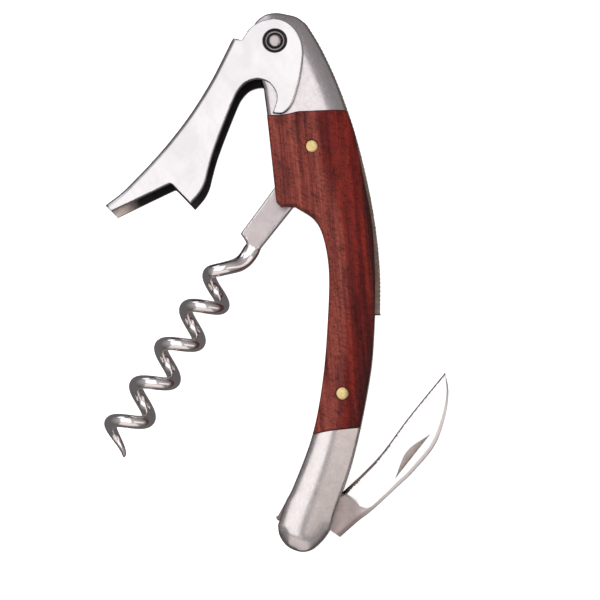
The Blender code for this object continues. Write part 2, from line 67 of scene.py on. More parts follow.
# Radii, and the play of a hole round a fixed pin, round a brass pin and round a pivot.
AXLE_R, COUNTERBORE_R, BRASS_R, RIVET_R, BLADE_PIN_R = 1.4, 2.7, 1.45, 1.00, 1.2
FIXED_PLAY, BRASS_PLAY, PIVOT_PLAY = 0.04, 0.05, 0.06

WORM_DIRECTION = Vector((-0.5463, -0.8376, 0.0)).normalized()
WORM_SIDE = Vector((0.8376, -0.5463, 0.0)).normalized()
WORM_OFFSET = -1.1
WIRE_R, HELIX_R, PITCH = 1.5, 3.3, 10.15
HELIX_START, START_ANGLE, HELIX_TURNS, STEPS_PER_TURN = 33.3, 120.0, 4.63, 56
FIRST_COIL_SLACK, SLACK_TURNS = 1.05, 1.1
POINT_LENGTH, POINT_R, POINT_TAPER = 11.0, 0.35, (1.0, 0.8, 0.55, 0.25)
LEAD_IN = [
    (-9.1, 13.8, 0.0), (-10.4, 11.9, 0.0), (-11.95, 9.4, 0.1), (-13.65, 7.9, 0.8),
    (-15.8, 7.1, 2.1),
]
# The wire's first points are eased into one bend, and the shank follows its lead.
EASING_PASSES, EASED_POINTS, LEAD_POINTS = 12, 60, 56
# The wire starts out flatter and a little wider.
FLAT_RUN, FLATTER = (3.0, 12.0), 0.15
WIDE_RUN, WIDER = (0.5, 3.6), 0.26
WORM_NECK, TANG_R = (-11.0, 12.4), 4.8
SHANK_END = [
    (-9.15, 11.4), (-9.95, 10.3), (-10.7, 9.0), (-11.7, 8.3), (-12.7, 9.0), (-12.7, 10.0),
    (-11.95, 11.2), (-11.85, 12.4), (-12.4, 13.6), (-13.2, 14.8),
]
SHANK_RIGHT = [(3.7, 27.4), (-1.3, 21.1), (-9.1, 11.3)]
SHANK_LEFT = [(-13.2, 14.8), (-5.7, 25.0)]

LEVER_HEAD = [
    (-11.2, 60.0), (-9.5, 61.3), (-7.6, 62.1), (-5.6, 62.4), (-3.7, 62.1), (-1.9, 61.1),
    (-0.4, 59.5), (0.6, 57.4), (1.0, 55.2), (0.9, 52.9), (0.3, 48.9), (-0.4, 46.2), (-1.2, 43.7),
    (-2.4, 41.9), (-3.8, 41.05), (-5.8, 41.2),
]
LEVER_INNER = [
    (-5.8, 41.2), (-5.0, 43.4), (-4.9, 45.3), (-5.5, 46.7), (-6.4, 47.9), (-7.7, 48.6),
    (-9.0, 48.9), (-10.4, 48.7), (-11.9, 48.0), (-13.4, 46.4), (-14.4, 44.5), (-16.1, 40.3),
    (-17.9, 35.6), (-19.2, 31.8), (-20.1, 28.4), (-20.8, 25.7), (-22.0, 23.4), (-24.0, 21.1),
]
LEVER_NOTCH = [(-28.0, 25.3), (-28.45, 25.6), (-29.0, 25.4), (-41.6, 19.4)]
LEVER_WEB = [
    (-43.0, 20.8), (-39.6, 23.4), (-37.4, 25.5), (-33.0, 30.1), (-28.6, 35.2), (-24.1, 41.2),
    (-19.7, 48.3), (-16.5, 54.6), (-15.0, 57.7),
]
LEVER_SHOULDER = [(-14.5, 58.1), (-12.7, 57.6), (-11.6, 59.3)]
WEB_THICKNESS = 1.2
# The room between the two plates runs on past both ends of the web, and is open to the right.
ROOM_START, ROOM_END, ROOM_RIGHT = (-4.0, -3.2), (1.0, 12.0), [(12.0, 72.0), (12.0, 8.0)]
FOOT_TIP = (-42.3, 20.1)

BLADE_SPINE = [
    (32.1, -16.2), (32.8, -20.6), (32.0, -26.1), (29.7, -32.3), (25.1, -37.9), (22.0, -40.9),
    (15.9, -46.5), (12.8, -48.9), (8.8, -52.4),
]
BLADE_EDGE = [
    (9.1, -42.8), (10.1, -41.9), (14.1, -38.2), (18.4, -33.6), (24.0, -26.1), (32.1, -16.2),
]
BLADE_TANG_R, BLADE_KICK = 4.2, (6.4, -50.7)
NICK_CHORD = [(28.8, -29.8), (20.9, -39.7)]
NICK_BULGE = (23.6, -33.6)
NICK_DEPTH, NICK_RIM, NICK_WIDTH = 0.5, 0.06, 1.1
# The ground face ends at the heel's plunge and runs beside the spine up to the point.
GROUND = [
    (9.6, -43.0), (11.6, -44.3), (13.2, -45.6), (15.2, -45.9), (17.4, -44.2), (21.3, -40.3),
    (24.3, -37.2), (28.6, -31.9), (31.35, -26.0), (32.35, -20.9), (32.1, -16.2),
]
BEYOND_EDGE = [(32.3, -15.6), (30.0, -12.0), (7.6, -41.4)]

BACK_SIDE = [
    (-3.3, 64.06), (-2.1, 63.8), (-1.0, 63.5), (-0.15, 63.05), (0.75, 62.35), (1.6, 61.4),
    (4.6, 56.2), (7.9, 49.1), (10.5, 41.9), (12.4, 36.3), (14.6, 25.1), (16.2, 15.7), (16.75, 3.0),
    (16.25, -10.4), (15.35, -18.0), (13.35, -28.4), (11.0, -37.6), (7.6, -47.3),
]
TAIL_END = [
    (7.6, -47.3), (6.2, -51.5), (3.2, -54.8), (0.6, -55.6), (-2.4, -54.5), (-4.2, -52.2),
    (-4.6, -49.8),
]
BELLY_SIDE = [
    (-4.6, -49.8), (-2.95, -44.8), (-1.2, -41.3), (3.0, -30.0), (5.3, -17.6), (6.4, -4.0),
    (6.6, 6.0), (5.4, 13.3), (3.3, 17.6), (-0.9, 20.5),
]
LEFT_EDGE = [(-4.0, 20.4), (-5.0, 21.4), (-7.1, 40.9), (-7.9, 47.1)]
NECK = [(-7.9, 47.1), (-9.2, 50.8), (-10.7, 54.5)]
NOSE_LEFT = [
    (-10.94, 55.35), (-11.35, 57.4), (-11.13, 59.52), (-10.24, 61.55), (-9.17, 62.93),
    (-7.68, 63.93),
]
NOSE_R, LOBE_SWEEP_R, JOINT_GAP = 6.95, 16.75, 0.06
TOP_JOINT_Y, TOP_JOINT_LEFT, TOP_JOINT_CORNER = 41.75, 263.9, 287.0
TAIL_JOINT = [(3.0, -30.0), (6.8, -29.2), (13.5, -28.4)]
REAR_STEP_LIFT, STEP_FROM, STEP_TO = 1.9, 5.0, 30.0
PAST_TAIL = (3.6, -58.6)

SPRING_BACK = [
    (1.2, 62.45), (2.0, 61.5), (4.9, 56.6), (8.2, 49.5), (10.9, 42.2), (12.9, 35.8), (14.9, 27.6),
    (16.3, 20.5), (17.3, 13.4), (17.9, 6.0), (17.9, -3.4),
]
SPRING_FRONT = [
    (13.9, -3.4), (13.4, 6.0), (12.3, 14.0), (10.6, 22.0), (8.7, 30.0), (7.7, 36.5), (5.9, 42.5),
    (4.1, 47.5), (2.0, 53.0), (0.8, 58.0),
]
BLADE_SPRING_BELLY = [
    (6.5, 13.0), (6.6, 6.0), (6.3, -4.0), (5.2, -17.6), (2.9, -30.0), (0.5, -37.2), (-1.3, -41.2),
    (-3.0, -44.5), (-4.75, -47.7),
]
NOSE_BLOCK_LOW, SPRING_GAP = [(-1.0, 42.8), (-7.4, 46.2)], 0.12
BLADE_SPRING_END = [(-5.2, -47.9), (-5.1, -48.4), (-4.8, -48.8), (-4.2, -48.6)]
BLADE_SPRING_INNER = [
    (-2.9, -47.0), (0.4, -42.4), (4.4, -35.6), (8.6, -28.0), (11.5, -21.1), (11.6, -13.0),
    (11.5, -3.0), (11.1, 6.0), (10.2, 12.6),
]

# How edges fall. A rim is the width and drop of a rounded edge, and a lean is the width, soft
# start and angle of a slope.
SLIM_RUN = (14.0, -16.0)
STEP_RIM, BELLY_RIM, SLIM_BELLY_RIM, BACK_RIM = (1.5, 0.7), (0.3, 0.22), (4.6, 1.4), (0.5, 0.4)
UPPER_LEAN, LOWER_LEAN = (4.2, 2.4, 20), (8.6, 6.5, 20)
WOOD_JOINT_RIM, WOOD_PIN_RIM = (0.22, 0.16), (0.16, 0.08)
NOSE_LEAN, NOSE_RIM, NECK_RIM, TOP_JOINT_RIM = (5.6, 4.8, 25), (0.4, 0.3), (1.9, 0.9), (0.18, 0.12)
TIP_LEAN, TIP_RIM, TAIL_JOINT_RIM, TAIL_STAND = (4.4, 4.0, 27), (0.9, 0.6), (0.2, 0.12), 0.05
PLATE_RIM = (0.12, 0.1)
FOLD_RIM, LEVER_RIM, SEAT_RIM = (1.4, 1.0), (0.34, 0.26), (0.22, 0.14)
SHANK_LEAN, SHANK_RIM = (0.5, 0.12, 24), (0.14, 0.12)
SPINE_LEAN, BLADE_RIM = (0.9, 0.3, 24), (0.1, 0.05)

# Mesh spacing: along an outline, the rings that follow it inwards, the rest of a face, and the
# squares that hold one point each.
EDGE_STEP = 0.4
RINGS = (0.1, 0.22, 0.38, 0.6, 0.9, 1.25, 1.7, 2.25)
FACE_STEP = 1.1
CELL, ROW_RATIO, FAR = 0.16, 0.866, 1e9
SHARP, TURN_STEPS, TUBE_SIDES = 35, 96, 28


# ---- outlines

def smooth(points, steps=8):
    """Points along a Catmull-Rom curve through the given points."""
    knots = [np.array(p, float) for p in points]
    knots = [2 * knots[0] - knots[1]] + knots + [2 * knots[-1] - knots[-2]]
    curve = []
    for a, b, c, d in zip(knots, knots[1:], knots[2:], knots[3:]):
        for i in range(steps):
            t = i / steps
            curve.append(0.5 * (2 * b + (c - a) * t + (2 * a - 5 * b + 4 * c - d) * t * t
                                + (3 * b - a - 3 * c + d) * t * t * t))
    curve.append(knots[-2])
    return [tuple(float(v) for v in p) for p in curve]


def arc(centre, radius, start, end, steps=24):
    angles = [math.radians(start + (end - start) * i / steps) for i in range(steps + 1)]
    return [(centre[0] + radius * math.cos(a), centre[1] + radius * math.sin(a)) for a in angles]


def circle(centre, radius, steps=48):
    return arc(centre, radius, 0, 360, steps)[:-1]


def joined(*strokes):
    """One closed loop from strokes laid end to end, without repeated points."""
    loop = []
    for point in [p for stroke in strokes for p in stroke]:
        if not loop or math.dist(point, loop[-1]) > 0.02:
            loop.append(tuple(point))
    if math.dist(loop[0], loop[-1]) <= 0.02:
        loop.pop()
    return loop


def between(curve, low, high):
    """The stretch of a side curve whose Y lies between two levels, cut exactly at them."""
    cut = []
    for (x0, y0), (x1, y1) in zip(curve, curve[1:]):
        for y in sorted((low, high), reverse=y1 < y0):
            if min(y0, y1) < y < max(y0, y1):
                cut.append((x0 + (x1 - x0) * (y - y0) / (y1 - y0), y))
        if low <= y1 <= high:
            cut.append((x1, y1))
    return cut


def raised(points, lift):
    """Points with the step of the belly moved up."""
    return [(x, y + lift if STEP_FROM < y < STEP_TO else y) for x, y in points]


def nose_line():
    return joined(smooth(NOSE_LEFT, 5), arc(LEVER_PIVOT, NOSE_R, 110, 74, 12))


BACK = smooth(BACK_SIDE)
NECK_LINE = smooth(NECK)
TAIL = smooth(TAIL_END)


def belly(lift=0.0):
    return smooth(raised(BELLY_SIDE, lift))


def top_joint(gap):
    return arc(LEVER_PIVOT, LOBE_SWEEP_R - gap, TOP_JOINT_LEFT, TOP_JOINT_CORNER, 24)


def tail_joint(gap):
    return [(x, y + gap) for x, y in smooth(TAIL_JOINT)]


def handle_loop(lift):
    return joined(nose_line(), BACK, TAIL, belly(lift), raised(LEFT_EDGE, lift), NECK_LINE)


def scale_loop(lift):
    side = raised(BELLY_SIDE, lift)
    back = between(BACK, TAIL_JOINT[2][1], TOP_JOINT_Y)
    front = between(smooth(side), TAIL_JOINT[0][1], side[-1][1])
    return joined(top_joint(0), back, reversed(tail_joint(0)), front, raised(LEFT_EDGE[:2], lift))


def top_bolster_loop():
    back = between(BACK, TOP_JOINT_Y + JOINT_GAP, BACK_SIDE[0][1])
    return joined(nose_line(), back, reversed(top_joint(JOINT_GAP)), LEFT_EDGE[3:], NECK_LINE)


def tail_bolster_loop():
    back = between(BACK, BACK_SIDE[-1][1], TAIL_JOINT[2][1] - JOINT_GAP)
    front = between(belly(), BELLY_SIDE[0][1], TAIL_JOINT[0][1] - JOINT_GAP)
    return joined(back, TAIL, front, tail_joint(-JOINT_GAP))


def nose_block_loop():
    split = [(x - SPRING_GAP, y) for x, y in reversed(smooth(SPRING_FRONT[-4:]))]
    return joined(nose_line(), smooth(BACK_SIDE[:5]), split, NOSE_BLOCK_LOW, NECK_LINE[1:])


def offset(curve, distance):
    """A line kept to the right of an open line at a distance."""
    moved = []
    for i, point in enumerate(curve):
        before, after = curve[max(i - 1, 0)], curve[min(i + 1, len(curve) - 1)]
        run = Vector((after[0] - before[0], after[1] - before[1])).normalized()
        moved.append((point[0] + run.y * distance, point[1] - run.x * distance))
    return moved


# ---- solids from outlines

def dense(loop, step, closed=True):
    """A line or loop with its points no further apart than a step."""
    ends = list(loop[1:]) + ([loop[0]] if closed else [])
    out = []
    for (x0, y0), (x1, y1) in zip(loop, ends):
        n = max(1, math.ceil(math.dist((x0, y0), (x1, y1)) / step))
        out += [(x0 + (x1 - x0) * i / n, y0 + (y1 - y0) * i / n) for i in range(n)]
    return out if closed else out + [tuple(loop[-1])]


def distance(points, line, closed=False):
    """Distance of many points from one line."""
    ends = list(line[1:]) + ([line[0]] if closed else [])
    best = np.full(len(points), FAR)
    for a, b in zip(line, ends):
        a, b = np.array(a), np.array(b)
        run = b - a
        t = np.clip(((points - a) @ run) / max(run @ run, 1e-12), 0, 1)
        best = np.minimum(best, np.hypot(*(points - a - t[:, None] * run).T))
    return best


def gap_to(points, line, step):
    """Distance of many points from an open line cut into short steps."""
    return distance(points, dense(line, step, False))


def inside(points, loops):
    """Whether many points are inside a set of loops, holes counted as outside."""
    odd = np.zeros(len(points), bool)
    x, y = points.T
    for loop in loops:
        for (x0, y0), (x1, y1) in zip(loop, list(loop[1:]) + [loop[0]]):
            if y0 != y1:
                crosses = (y0 > y) != (y1 > y)
                odd ^= crosses & (x < (x1 - x0) * (y - y0) / (y1 - y0) + x0)
    return odd


def triangles_over(loops, lines, rings, step, face_step):
    """Points and triangles that fill an outline, finer beside its edges, with lines kept."""
    lines = [(loop, True) for loop in loops] + list(lines)
    strokes = [(dense(line, step, closed), closed) for line, closed in lines]
    points, edges, offsets = [], [], []
    for stroke, closed in strokes:
        first = len(points)
        points += stroke
        count = len(stroke)
        edges += [(first + i, first + (i + 1) % count)
                  for i in range(count if closed else count - 1)]
        p = np.array(stroke)
        run = np.roll(p, -1, 0) - np.roll(p, 1, 0) if closed else np.gradient(p, axis=0)
        normal = np.stack([run[:, 1], -run[:, 0]], 1)
        normal /= np.maximum(np.linalg.norm(normal, axis=1), 1e-9)[:, None]
        offsets.append((p, normal))
    reach = rings[-1] if rings else step
    low, high = np.min(points, 0), np.max(points, 0)
    xs = np.arange(low[0] + face_step / 2, high[0], face_step)
    ys = np.arange(low[1] + face_step / 2, high[1], face_step * ROW_RATIO)
    grid = np.array([(x + (j % 2) * face_step / 2, y) for j, y in enumerate(ys) for x in xs])
    rings_and_grid = [(grid, reach + face_step * 0.4)]
    for gap in rings:
        both = np.concatenate([p + sign * gap * n for p, n in offsets for sign in (1, -1)])
        rings_and_grid.append((both, gap * 0.95))
    taken = set()
    for candidates, clearance in rings_and_grid:
        candidates = candidates[inside(candidates, loops)]
        if not len(candidates):
            continue
        gaps = np.full(len(candidates), FAR)
        for stroke, closed in strokes:
            gaps = np.minimum(gaps, distance(candidates, stroke, closed))
        for (x, y), gap in zip(candidates, gaps):
            cell = (round(x / CELL), round(y / CELL))
            if gap >= clearance and cell not in taken:
                taken.add(cell)
                points.append((float(x), float(y)))
    made = delaunay_2d_cdt([Vector(p) for p in points], edges, [], 0, 1e-5)
    flat = np.array([tuple(v) for v in made[0]])
    faces = np.array([f for f in made[2] if len(f) == 3])
    centres = flat[faces].mean(1)
    keep = inside(centres, loops)
    faces, centres = faces[keep], centres[keep]
    a, b, c = (flat[faces[:, i]] for i in range(3))
    area = (b[:, 0] - a[:, 0]) * (c[:, 1] - a[:, 1]) - (b[:, 1] - a[:, 1]) * (c[:, 0] - a[:, 0])
    faces[area < 0] = faces[area < 0][:, ::-1]
    real = np.abs(area) > 1e-7
    return flat, faces[real], centres[real]


def minus(spans, others, at):
    """The stretches of some spans that other spans don't cover. A span is two surface names."""
    for low, high in others:
        kept = []
        for start, end in spans:
            if at[high] <= at[start] + 1e-6 or at[low] >= at[end] - 1e-6:
                kept.append((start, end))
                continue
            if at[low] > at[start] + 1e-6:
                kept.append((start, low))
            if at[high] < at[end] - 1e-6:
                kept.append((high, end))
        spans = kept
    return spans


def new_mesh(points, polygons, marks, sharp=SHARP):
    """A mesh from points in millimetres, smooth up to an angle. Its marks are numbers on the
    points, for the materials."""
    mesh = bpy.data.meshes.new("mesh")
    mesh.from_pydata([tuple(p * MM + ORIGIN) for p in points], [], polygons)
    mesh.validate()
    mesh.update()
    for key, values in marks.items():
        mark = mesh.attributes.new(key, "FLOAT", "POINT")
        mark.data.foreach_set("value", np.asarray(values, np.float32))
    mesh.shade_smooth()
    mesh.set_sharp_from_angle(angle=math.radians(sharp))
    return mesh


def everywhere(centres):
    return [[("bottom", "top")]] * len(centres)


def solid(loops, surfaces, spans_of=everywhere, lines=(), rings=RINGS, step=EDGE_STEP,
          face_step=FACE_STEP, paint=None, marks=None, sharp=SHARP):
    """A closed mesh over an outline. surfaces gives named levels as functions of the points, and
    spans_of the stretches of material in each region, as pairs of those names."""
    flat, faces, centres = triangles_over(loops, lines, rings, step, face_step)
    levels = {key: np.broadcast_to(z(flat), len(flat)) for key, z in surfaces.items()}
    spans = spans_of(centres)
    verts, index, columns = [], {}, {}

    def corner(v, surface):
        z = float(levels[surface][v])
        key = (v, round(z, 4))
        if key not in index:
            index[key] = len(verts)
            verts.append((flat[v][0], flat[v][1], z))
            columns.setdefault(v, []).append((z, index[key]))
        return index[key]

    def rise(v, low, high):
        start, end = levels[low][v], levels[high][v]
        return [i for z, i in columns[v] if start - 1e-4 <= z <= end + 1e-4]

    polygons, sides = [], {}
    for t, face in enumerate(faces):
        for low, high in spans[t]:
            polygons.append([corner(v, high) for v in face])
            polygons.append([corner(v, low) for v in reversed(face)])
        for a, b in zip(face, (face[1], face[2], face[0])):
            sides.setdefault((min(a, b), max(a, b)), []).append((t, int(a), int(b)))
    for column in columns.values():
        column.sort()
    for users in sides.values():
        for t, a, b in users:
            others = [s for u, _, _ in users if u != t for s in spans[u]]
            at = {key: (z[a] + z[b]) / 2 for key, z in levels.items()}
            for low, high in minus(list(spans[t]), others, at):
                polygon = rise(b, low, high) + rise(a, low, high)[::-1]
                polygon = [p for i, p in enumerate(polygon) if p != polygon[i - 1]]
                if len(polygon) > 2:
                    first = corner(a, low)
                    polygons.append([first] + [p for p in polygon if p != first])
    co = np.array(verts)
    rim = distance(co[:, :2], dense(loops[0], 1.0), True)
    mesh = new_mesh(co, polygons, {"rim": rim, **(marks(co) if marks else {})}, sharp)
    if paint:
        middles = np.array([tuple(p.center) for p in mesh.polygons])
        normals = np.array([tuple(p.normal) for p in mesh.polygons])
        slots = paint((middles - ORIGIN) / MM, normals)
        mesh.polygons.foreach_set("material_index", slots.astype(np.int32))
    return mesh


def at_level(value):
    return lambda points: np.full(len(points), float(value))


def two_sided(top):
    return {"top": top, "bottom": lambda p: -top(p)}


def rounded(gap, width, drop):
    """How far a rounded rim falls at a distance from the edge: an ellipse's quarter."""
    t = np.clip(1 - gap / width, 0, 1)
    return drop * (1 - np.sqrt(1 - t * t))


def slope(gap, width, blend, tilt):
    """A band beside an edge that leans outwards by an angle, with a soft start."""
    u = np.clip((width - gap) / blend, 0, 1)
    run = blend * (u ** 3 - u ** 4 / 2) + np.maximum(width - blend - gap, 0)
    return math.tan(math.radians(tilt)) * run


def fade(values, start, end):
    """0 at start, 1 at end, smooth between."""
    t = np.clip((values - start) / (end - start), 0, 1)
    return t * t * (3 - 2 * t)


def add_object(name, data):
    obj = bpy.data.objects.new(name, data)
    scene.collection.objects.link(obj)
    return obj


def piece(name, mesh, mats, body, slot, *nodes):
    mesh.name = name
    obj = add_object(name, mesh)
    for mat in mats:
        mesh.materials.append(mat)
    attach(obj, body)
    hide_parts(*nodes)


# ---- turned and swept solids

def turned_mesh(centre, profile):
    """A closed ring or pin turned about a line along Z, from (radius, level) points."""
    verts, rows = [], []
    for radius, z in profile:
        if radius < 1e-6:
            rows.append([len(verts)] * TURN_STEPS)
            verts.append((centre[0], centre[1], z))
        else:
            rows.append(list(range(len(verts), len(verts) + TURN_STEPS)))
            verts += [(x, y, z) for x, y in circle(centre, radius, TURN_STEPS)]
    closed = profile[0][0] > 1e-6
    polygons = []
    for upper, lower in zip(rows, rows[1:] + ([rows[0]] if closed else [])):
        for i in range(TURN_STEPS):
            j = (i + 1) % TURN_STEPS
            corners = [upper[i], lower[i], lower[j], upper[j]]
            corners = [c for k, c in enumerate(corners) if c not in corners[:k]]
            if len(corners) > 2:
                polygons.append(corners)
    co = np.array(verts)
    gap = np.max([r for r, _ in profile]) - np.hypot(co[:, 0] - centre[0], co[:, 1] - centre[1])
    return new_mesh(co, polygons, {"rim": gap})


def both_ends(half):
    """A pin's outline, from its upper half."""
    return half + [(r, -z) for r, z in reversed(half)]


def pin_mesh(centre, radius, top, rise, edge, steps=8):
    """A pin with a low dome and a small rounded rim at both ends."""
    turns = [math.pi / 2 * i / steps for i in range(steps + 1)]
    half = [(radius * 0.9 * math.sin(a), top - rise * (1 - math.cos(a))) for a in turns]
    low = top - rise
    half += [(radius * 0.97, low - edge * 0.3), (radius, low - edge)]
    return turned_mesh(centre, both_ends(half))


def tube(path, sizes):
    """A closed tube along a path. sizes are (across, thickness) half widths at each point."""
    points = [Vector(p) for p in path]
    runs = [(points[min(i + 1, len(points) - 1)] - points[max(i - 1, 0)]).normalized()
            for i in range(len(points))]
    up = Vector((0, 0, 1))
    verts, polygons = [], []
    for point, run, (across, thick) in zip(points, runs, sizes):
        up = (up - run * up.dot(run)).normalized()
        side = run.cross(up)
        for k in range(TUBE_SIDES):
            a = math.tau * k / TUBE_SIDES
            verts.append(tuple(point + side * (across * math.cos(a)) + up * (thick * math.sin(a))))
    for first in range(0, len(verts) - TUBE_SIDES, TUBE_SIDES):
        for k in range(TUBE_SIDES):
            a, b = first + k, first + (k + 1) % TUBE_SIDES
            polygons.append([a, b, b + TUBE_SIDES, a + TUBE_SIDES])
    ends = list(range(TUBE_SIDES))[::-1], list(range(len(verts) - TUBE_SIDES, len(verts)))
    polygons += ends
    return np.array(verts), polygons


# ---- materials

def set_stops(ramp, stops):
    while len(ramp.elements) < len(stops):
        ramp.elements.new(0.5)
    for element, (at, colour) in zip(ramp.elements, stops):
        element.position = at
        element.color = (*((colour,) * 3 if isinstance(colour, float) else colour), 1.0)


class Shader:
    """A material built from small helpers, with every texture in millimetres."""

    def __init__(self, name):
        self.mat = bpy.data.materials.new(name)
        self.mat.use_nodes = True
        self.tree = self.mat.node_tree
        self.bsdf = self.tree.nodes["Principled BSDF"]
        self.place = self.node("ShaderNodeTexCoord").outputs["Object"]

    def node(self, kind, **inputs):
        made = self.tree.nodes.new(kind)
        for key, value in inputs.items():
            self.put(made, key, value)
        return made

    def put(self, node, key, value):
        socket = node.inputs[key]
        if isinstance(value, bpy.types.NodeSocket):
            self.tree.links.new(value, socket)
        else:
            socket.default_value = value

    def set(self, **values):
        for key, value in values.items():
            self.put(self.bsdf, key.replace("_", " "), value)

    def noise(self, place, detail=3.0, rough=0.55, distortion=0.0):
        """Noise. A place is features per millimetre across and along, turn, depth and shift."""
        across, along, turn, depth, shift = place + (0.0, place[0], 0.0)[len(place) - 2:]
        turned = self.node("ShaderNodeMapping", Vector=self.place,
                           Rotation=(0, 0, math.radians(turn)))
        scaled = self.node("ShaderNodeMapping", Vector=turned.outputs[0], Location=(shift,) * 3,
                           Scale=(across / MM, along / MM, depth / MM))
        made = self.node("ShaderNodeTexNoise", Vector=scaled.outputs[0], Scale=1.0, Detail=detail,
                         Roughness=rough, Distortion=distortion)
        return made.outputs["Fac"]

    def ramp(self, value, stops):
        made = self.node("ShaderNodeValToRGB", Fac=value)
        set_stops(made.color_ramp, stops)
        return made.outputs["Color"]

    def mix(self, fac, a, b, mode="MIX"):
        made = self.node("ShaderNodeMix")
        made.data_type = "RGBA"
        made.blend_type = mode
        for key, value in ((0, fac), (6, a), (7, b)):
            self.put(made, key, (*value, 1.0) if isinstance(value, tuple) else value)
        return made.outputs[2]

    def times(self, colour, by):
        return self.mix(1.0, colour, by, "MULTIPLY")

    def math(self, kind, *values):
        made = self.node("ShaderNodeMath")
        made.operation = kind
        for key, value in enumerate(values):
            self.put(made, key, value)
        return made.outputs[0]

    def plus(self, a, b):
        return self.math("ADD", a, b)

    def by(self, a, b):
        return self.math("MULTIPLY", a, b)

    def spread(self, value, start, end, low=0.0, high=1.0):
        """A value taken smoothly from one range to another."""
        made = self.node("ShaderNodeMapRange", Value=value)
        made.interpolation_type = "SMOOTHSTEP"
        for key, number in enumerate((start, end, low, high), 1):
            self.put(made, key, number)
        return made.outputs[0]

    def mark(self, name):
        made = self.node("ShaderNodeAttribute")
        made.attribute_name = name
        return made.outputs["Fac"]

    def bump(self, height, strength, depth):
        made = self.node("ShaderNodeBump", Height=height, Strength=strength, Distance=depth * MM)
        self.put(self.bsdf, "Normal", made.outputs[0])


GRAIN = -5.0
BROWN_BANDS = [
    (0.28, (0.085, 0.016, 0.014)), (0.4, (0.23, 0.04, 0.03)), (0.53, (0.34, 0.07, 0.048)),
    (0.66, (0.41, 0.098, 0.066)), (0.8, (0.24, 0.044, 0.032)),
]
RED_BANDS = [
    (0.28, (0.055, 0.006, 0.005)), (0.4, (0.15, 0.01, 0.008)), (0.53, (0.225, 0.016, 0.01)),
    (0.68, (0.285, 0.027, 0.015)), (0.82, (0.14, 0.01, 0.008)),
]
HAZE = 0.1
CROSS_FIGURE = [(0.38, 0.44), (0.47, 0.8), (0.56, 1.0)]
PATCH_TINT, LINE_TINT, PORE_TINT = (0.5, 0.42, 0.55), (0.34, 0.28, 0.3), (0.42, 0.36, 0.36)
# The first colour is dark grain plus painted shade by the back; the second is dark joint lines plus
# painted shade round the outline.
STREAK_AND_BACK_SHADE, DARK_JOINT_AND_EDGE_SHADE = (0.022, 0.007, 0.007), (0.045, 0.012, 0.01)


def wood_material(name, shift):
    """Rosewood, brown by the belly and red by the back, with dark streaked grain, pores and figure,
    darkened along the back by grain and painted shade, and round its outline by dark joint lines
    and painted shade.
    """
    s = Shader(name)
    broad = s.noise((0.3, 0.012, GRAIN, 0.1, shift), 3.0, 0.5, 0.25)
    bands = s.noise((0.85, 0.02, GRAIN, 0.3, shift + 3), 4.0, 0.6, 0.35)
    lines = s.noise((2.6, 0.035, GRAIN, 1.0, shift + 7), 3.0, 0.6, 0.3)
    pores = s.noise((7.0, 0.55, GRAIN, 4.0, shift + 11), 2.0, 0.5)
    figure = s.noise((0.75, 2.3, GRAIN + 32, 1.0, shift + 17), 3.0, 0.62, 1.4)
    patches = s.noise((0.26, 0.07, GRAIN + 6, 0.2, shift + 23), 3.0, 0.6, 0.6)

    blend = s.plus(s.mark("across"), s.math("MULTIPLY_ADD", broad, 0.9, -0.45))
    colour = s.mix(s.spread(blend, 0.36, 0.66), s.ramp(bands, RED_BANDS),
                   s.ramp(bands, BROWN_BANDS))
    colour = s.mix(s.spread(patches, 0.5, 0.66, 0.0, 0.6), colour, s.times(colour, PATCH_TINT))

    # Near the back: dark grain lines over a painted shade of about a third, for the crowned side
    # falling away from the light.
    drift = s.math("MULTIPLY_ADD", broad, 9.0, -4.5)
    by_back = s.spread(s.plus(s.mark("back"), drift), 0.0, 3.4, 1.0, 0.0)
    streaks_and_back_shade = s.by(by_back, s.spread(bands, 0.7, 0.46, 0.35, 1.0))
    colour = s.mix(s.by(streaks_and_back_shade, 0.85), colour, STREAK_AND_BACK_SHADE)

    colour = s.mix(s.spread(lines, 0.4, 0.3), colour, s.times(colour, LINE_TINT))
    colour = s.times(colour, s.ramp(figure, CROSS_FIGURE))
    colour = s.mix(s.spread(pores, 0.4, 0.31), colour, s.times(colour, PORE_TINT))
    # Darker within about half a millimetre of the outline: dark joint lines at the bolsters, plus
    # painted shade along the edges, the notch and the step's underside.
    colour = s.mix(s.spread(s.mark("rim"), 0.0, 0.55, 0.42, 1.0), DARK_JOINT_AND_EDGE_SHADE, colour)
    s.set(Base_Color=colour, Metallic=0.0, IOR=1.46, Specular_IOR_Level=0.18)
    s.set(Roughness=s.plus(s.spread(figure, 0.3, 0.7, 0.46, 0.58),
                           s.spread(pores, 0.4, 0.31, 0.0, 0.15)))
    height = s.plus(s.by(s.spread(pores, 0.42, 0.3), -0.7),
                    s.by(lines, 0.5))
    s.bump(height, 0.35, 0.05)
    return s.mat


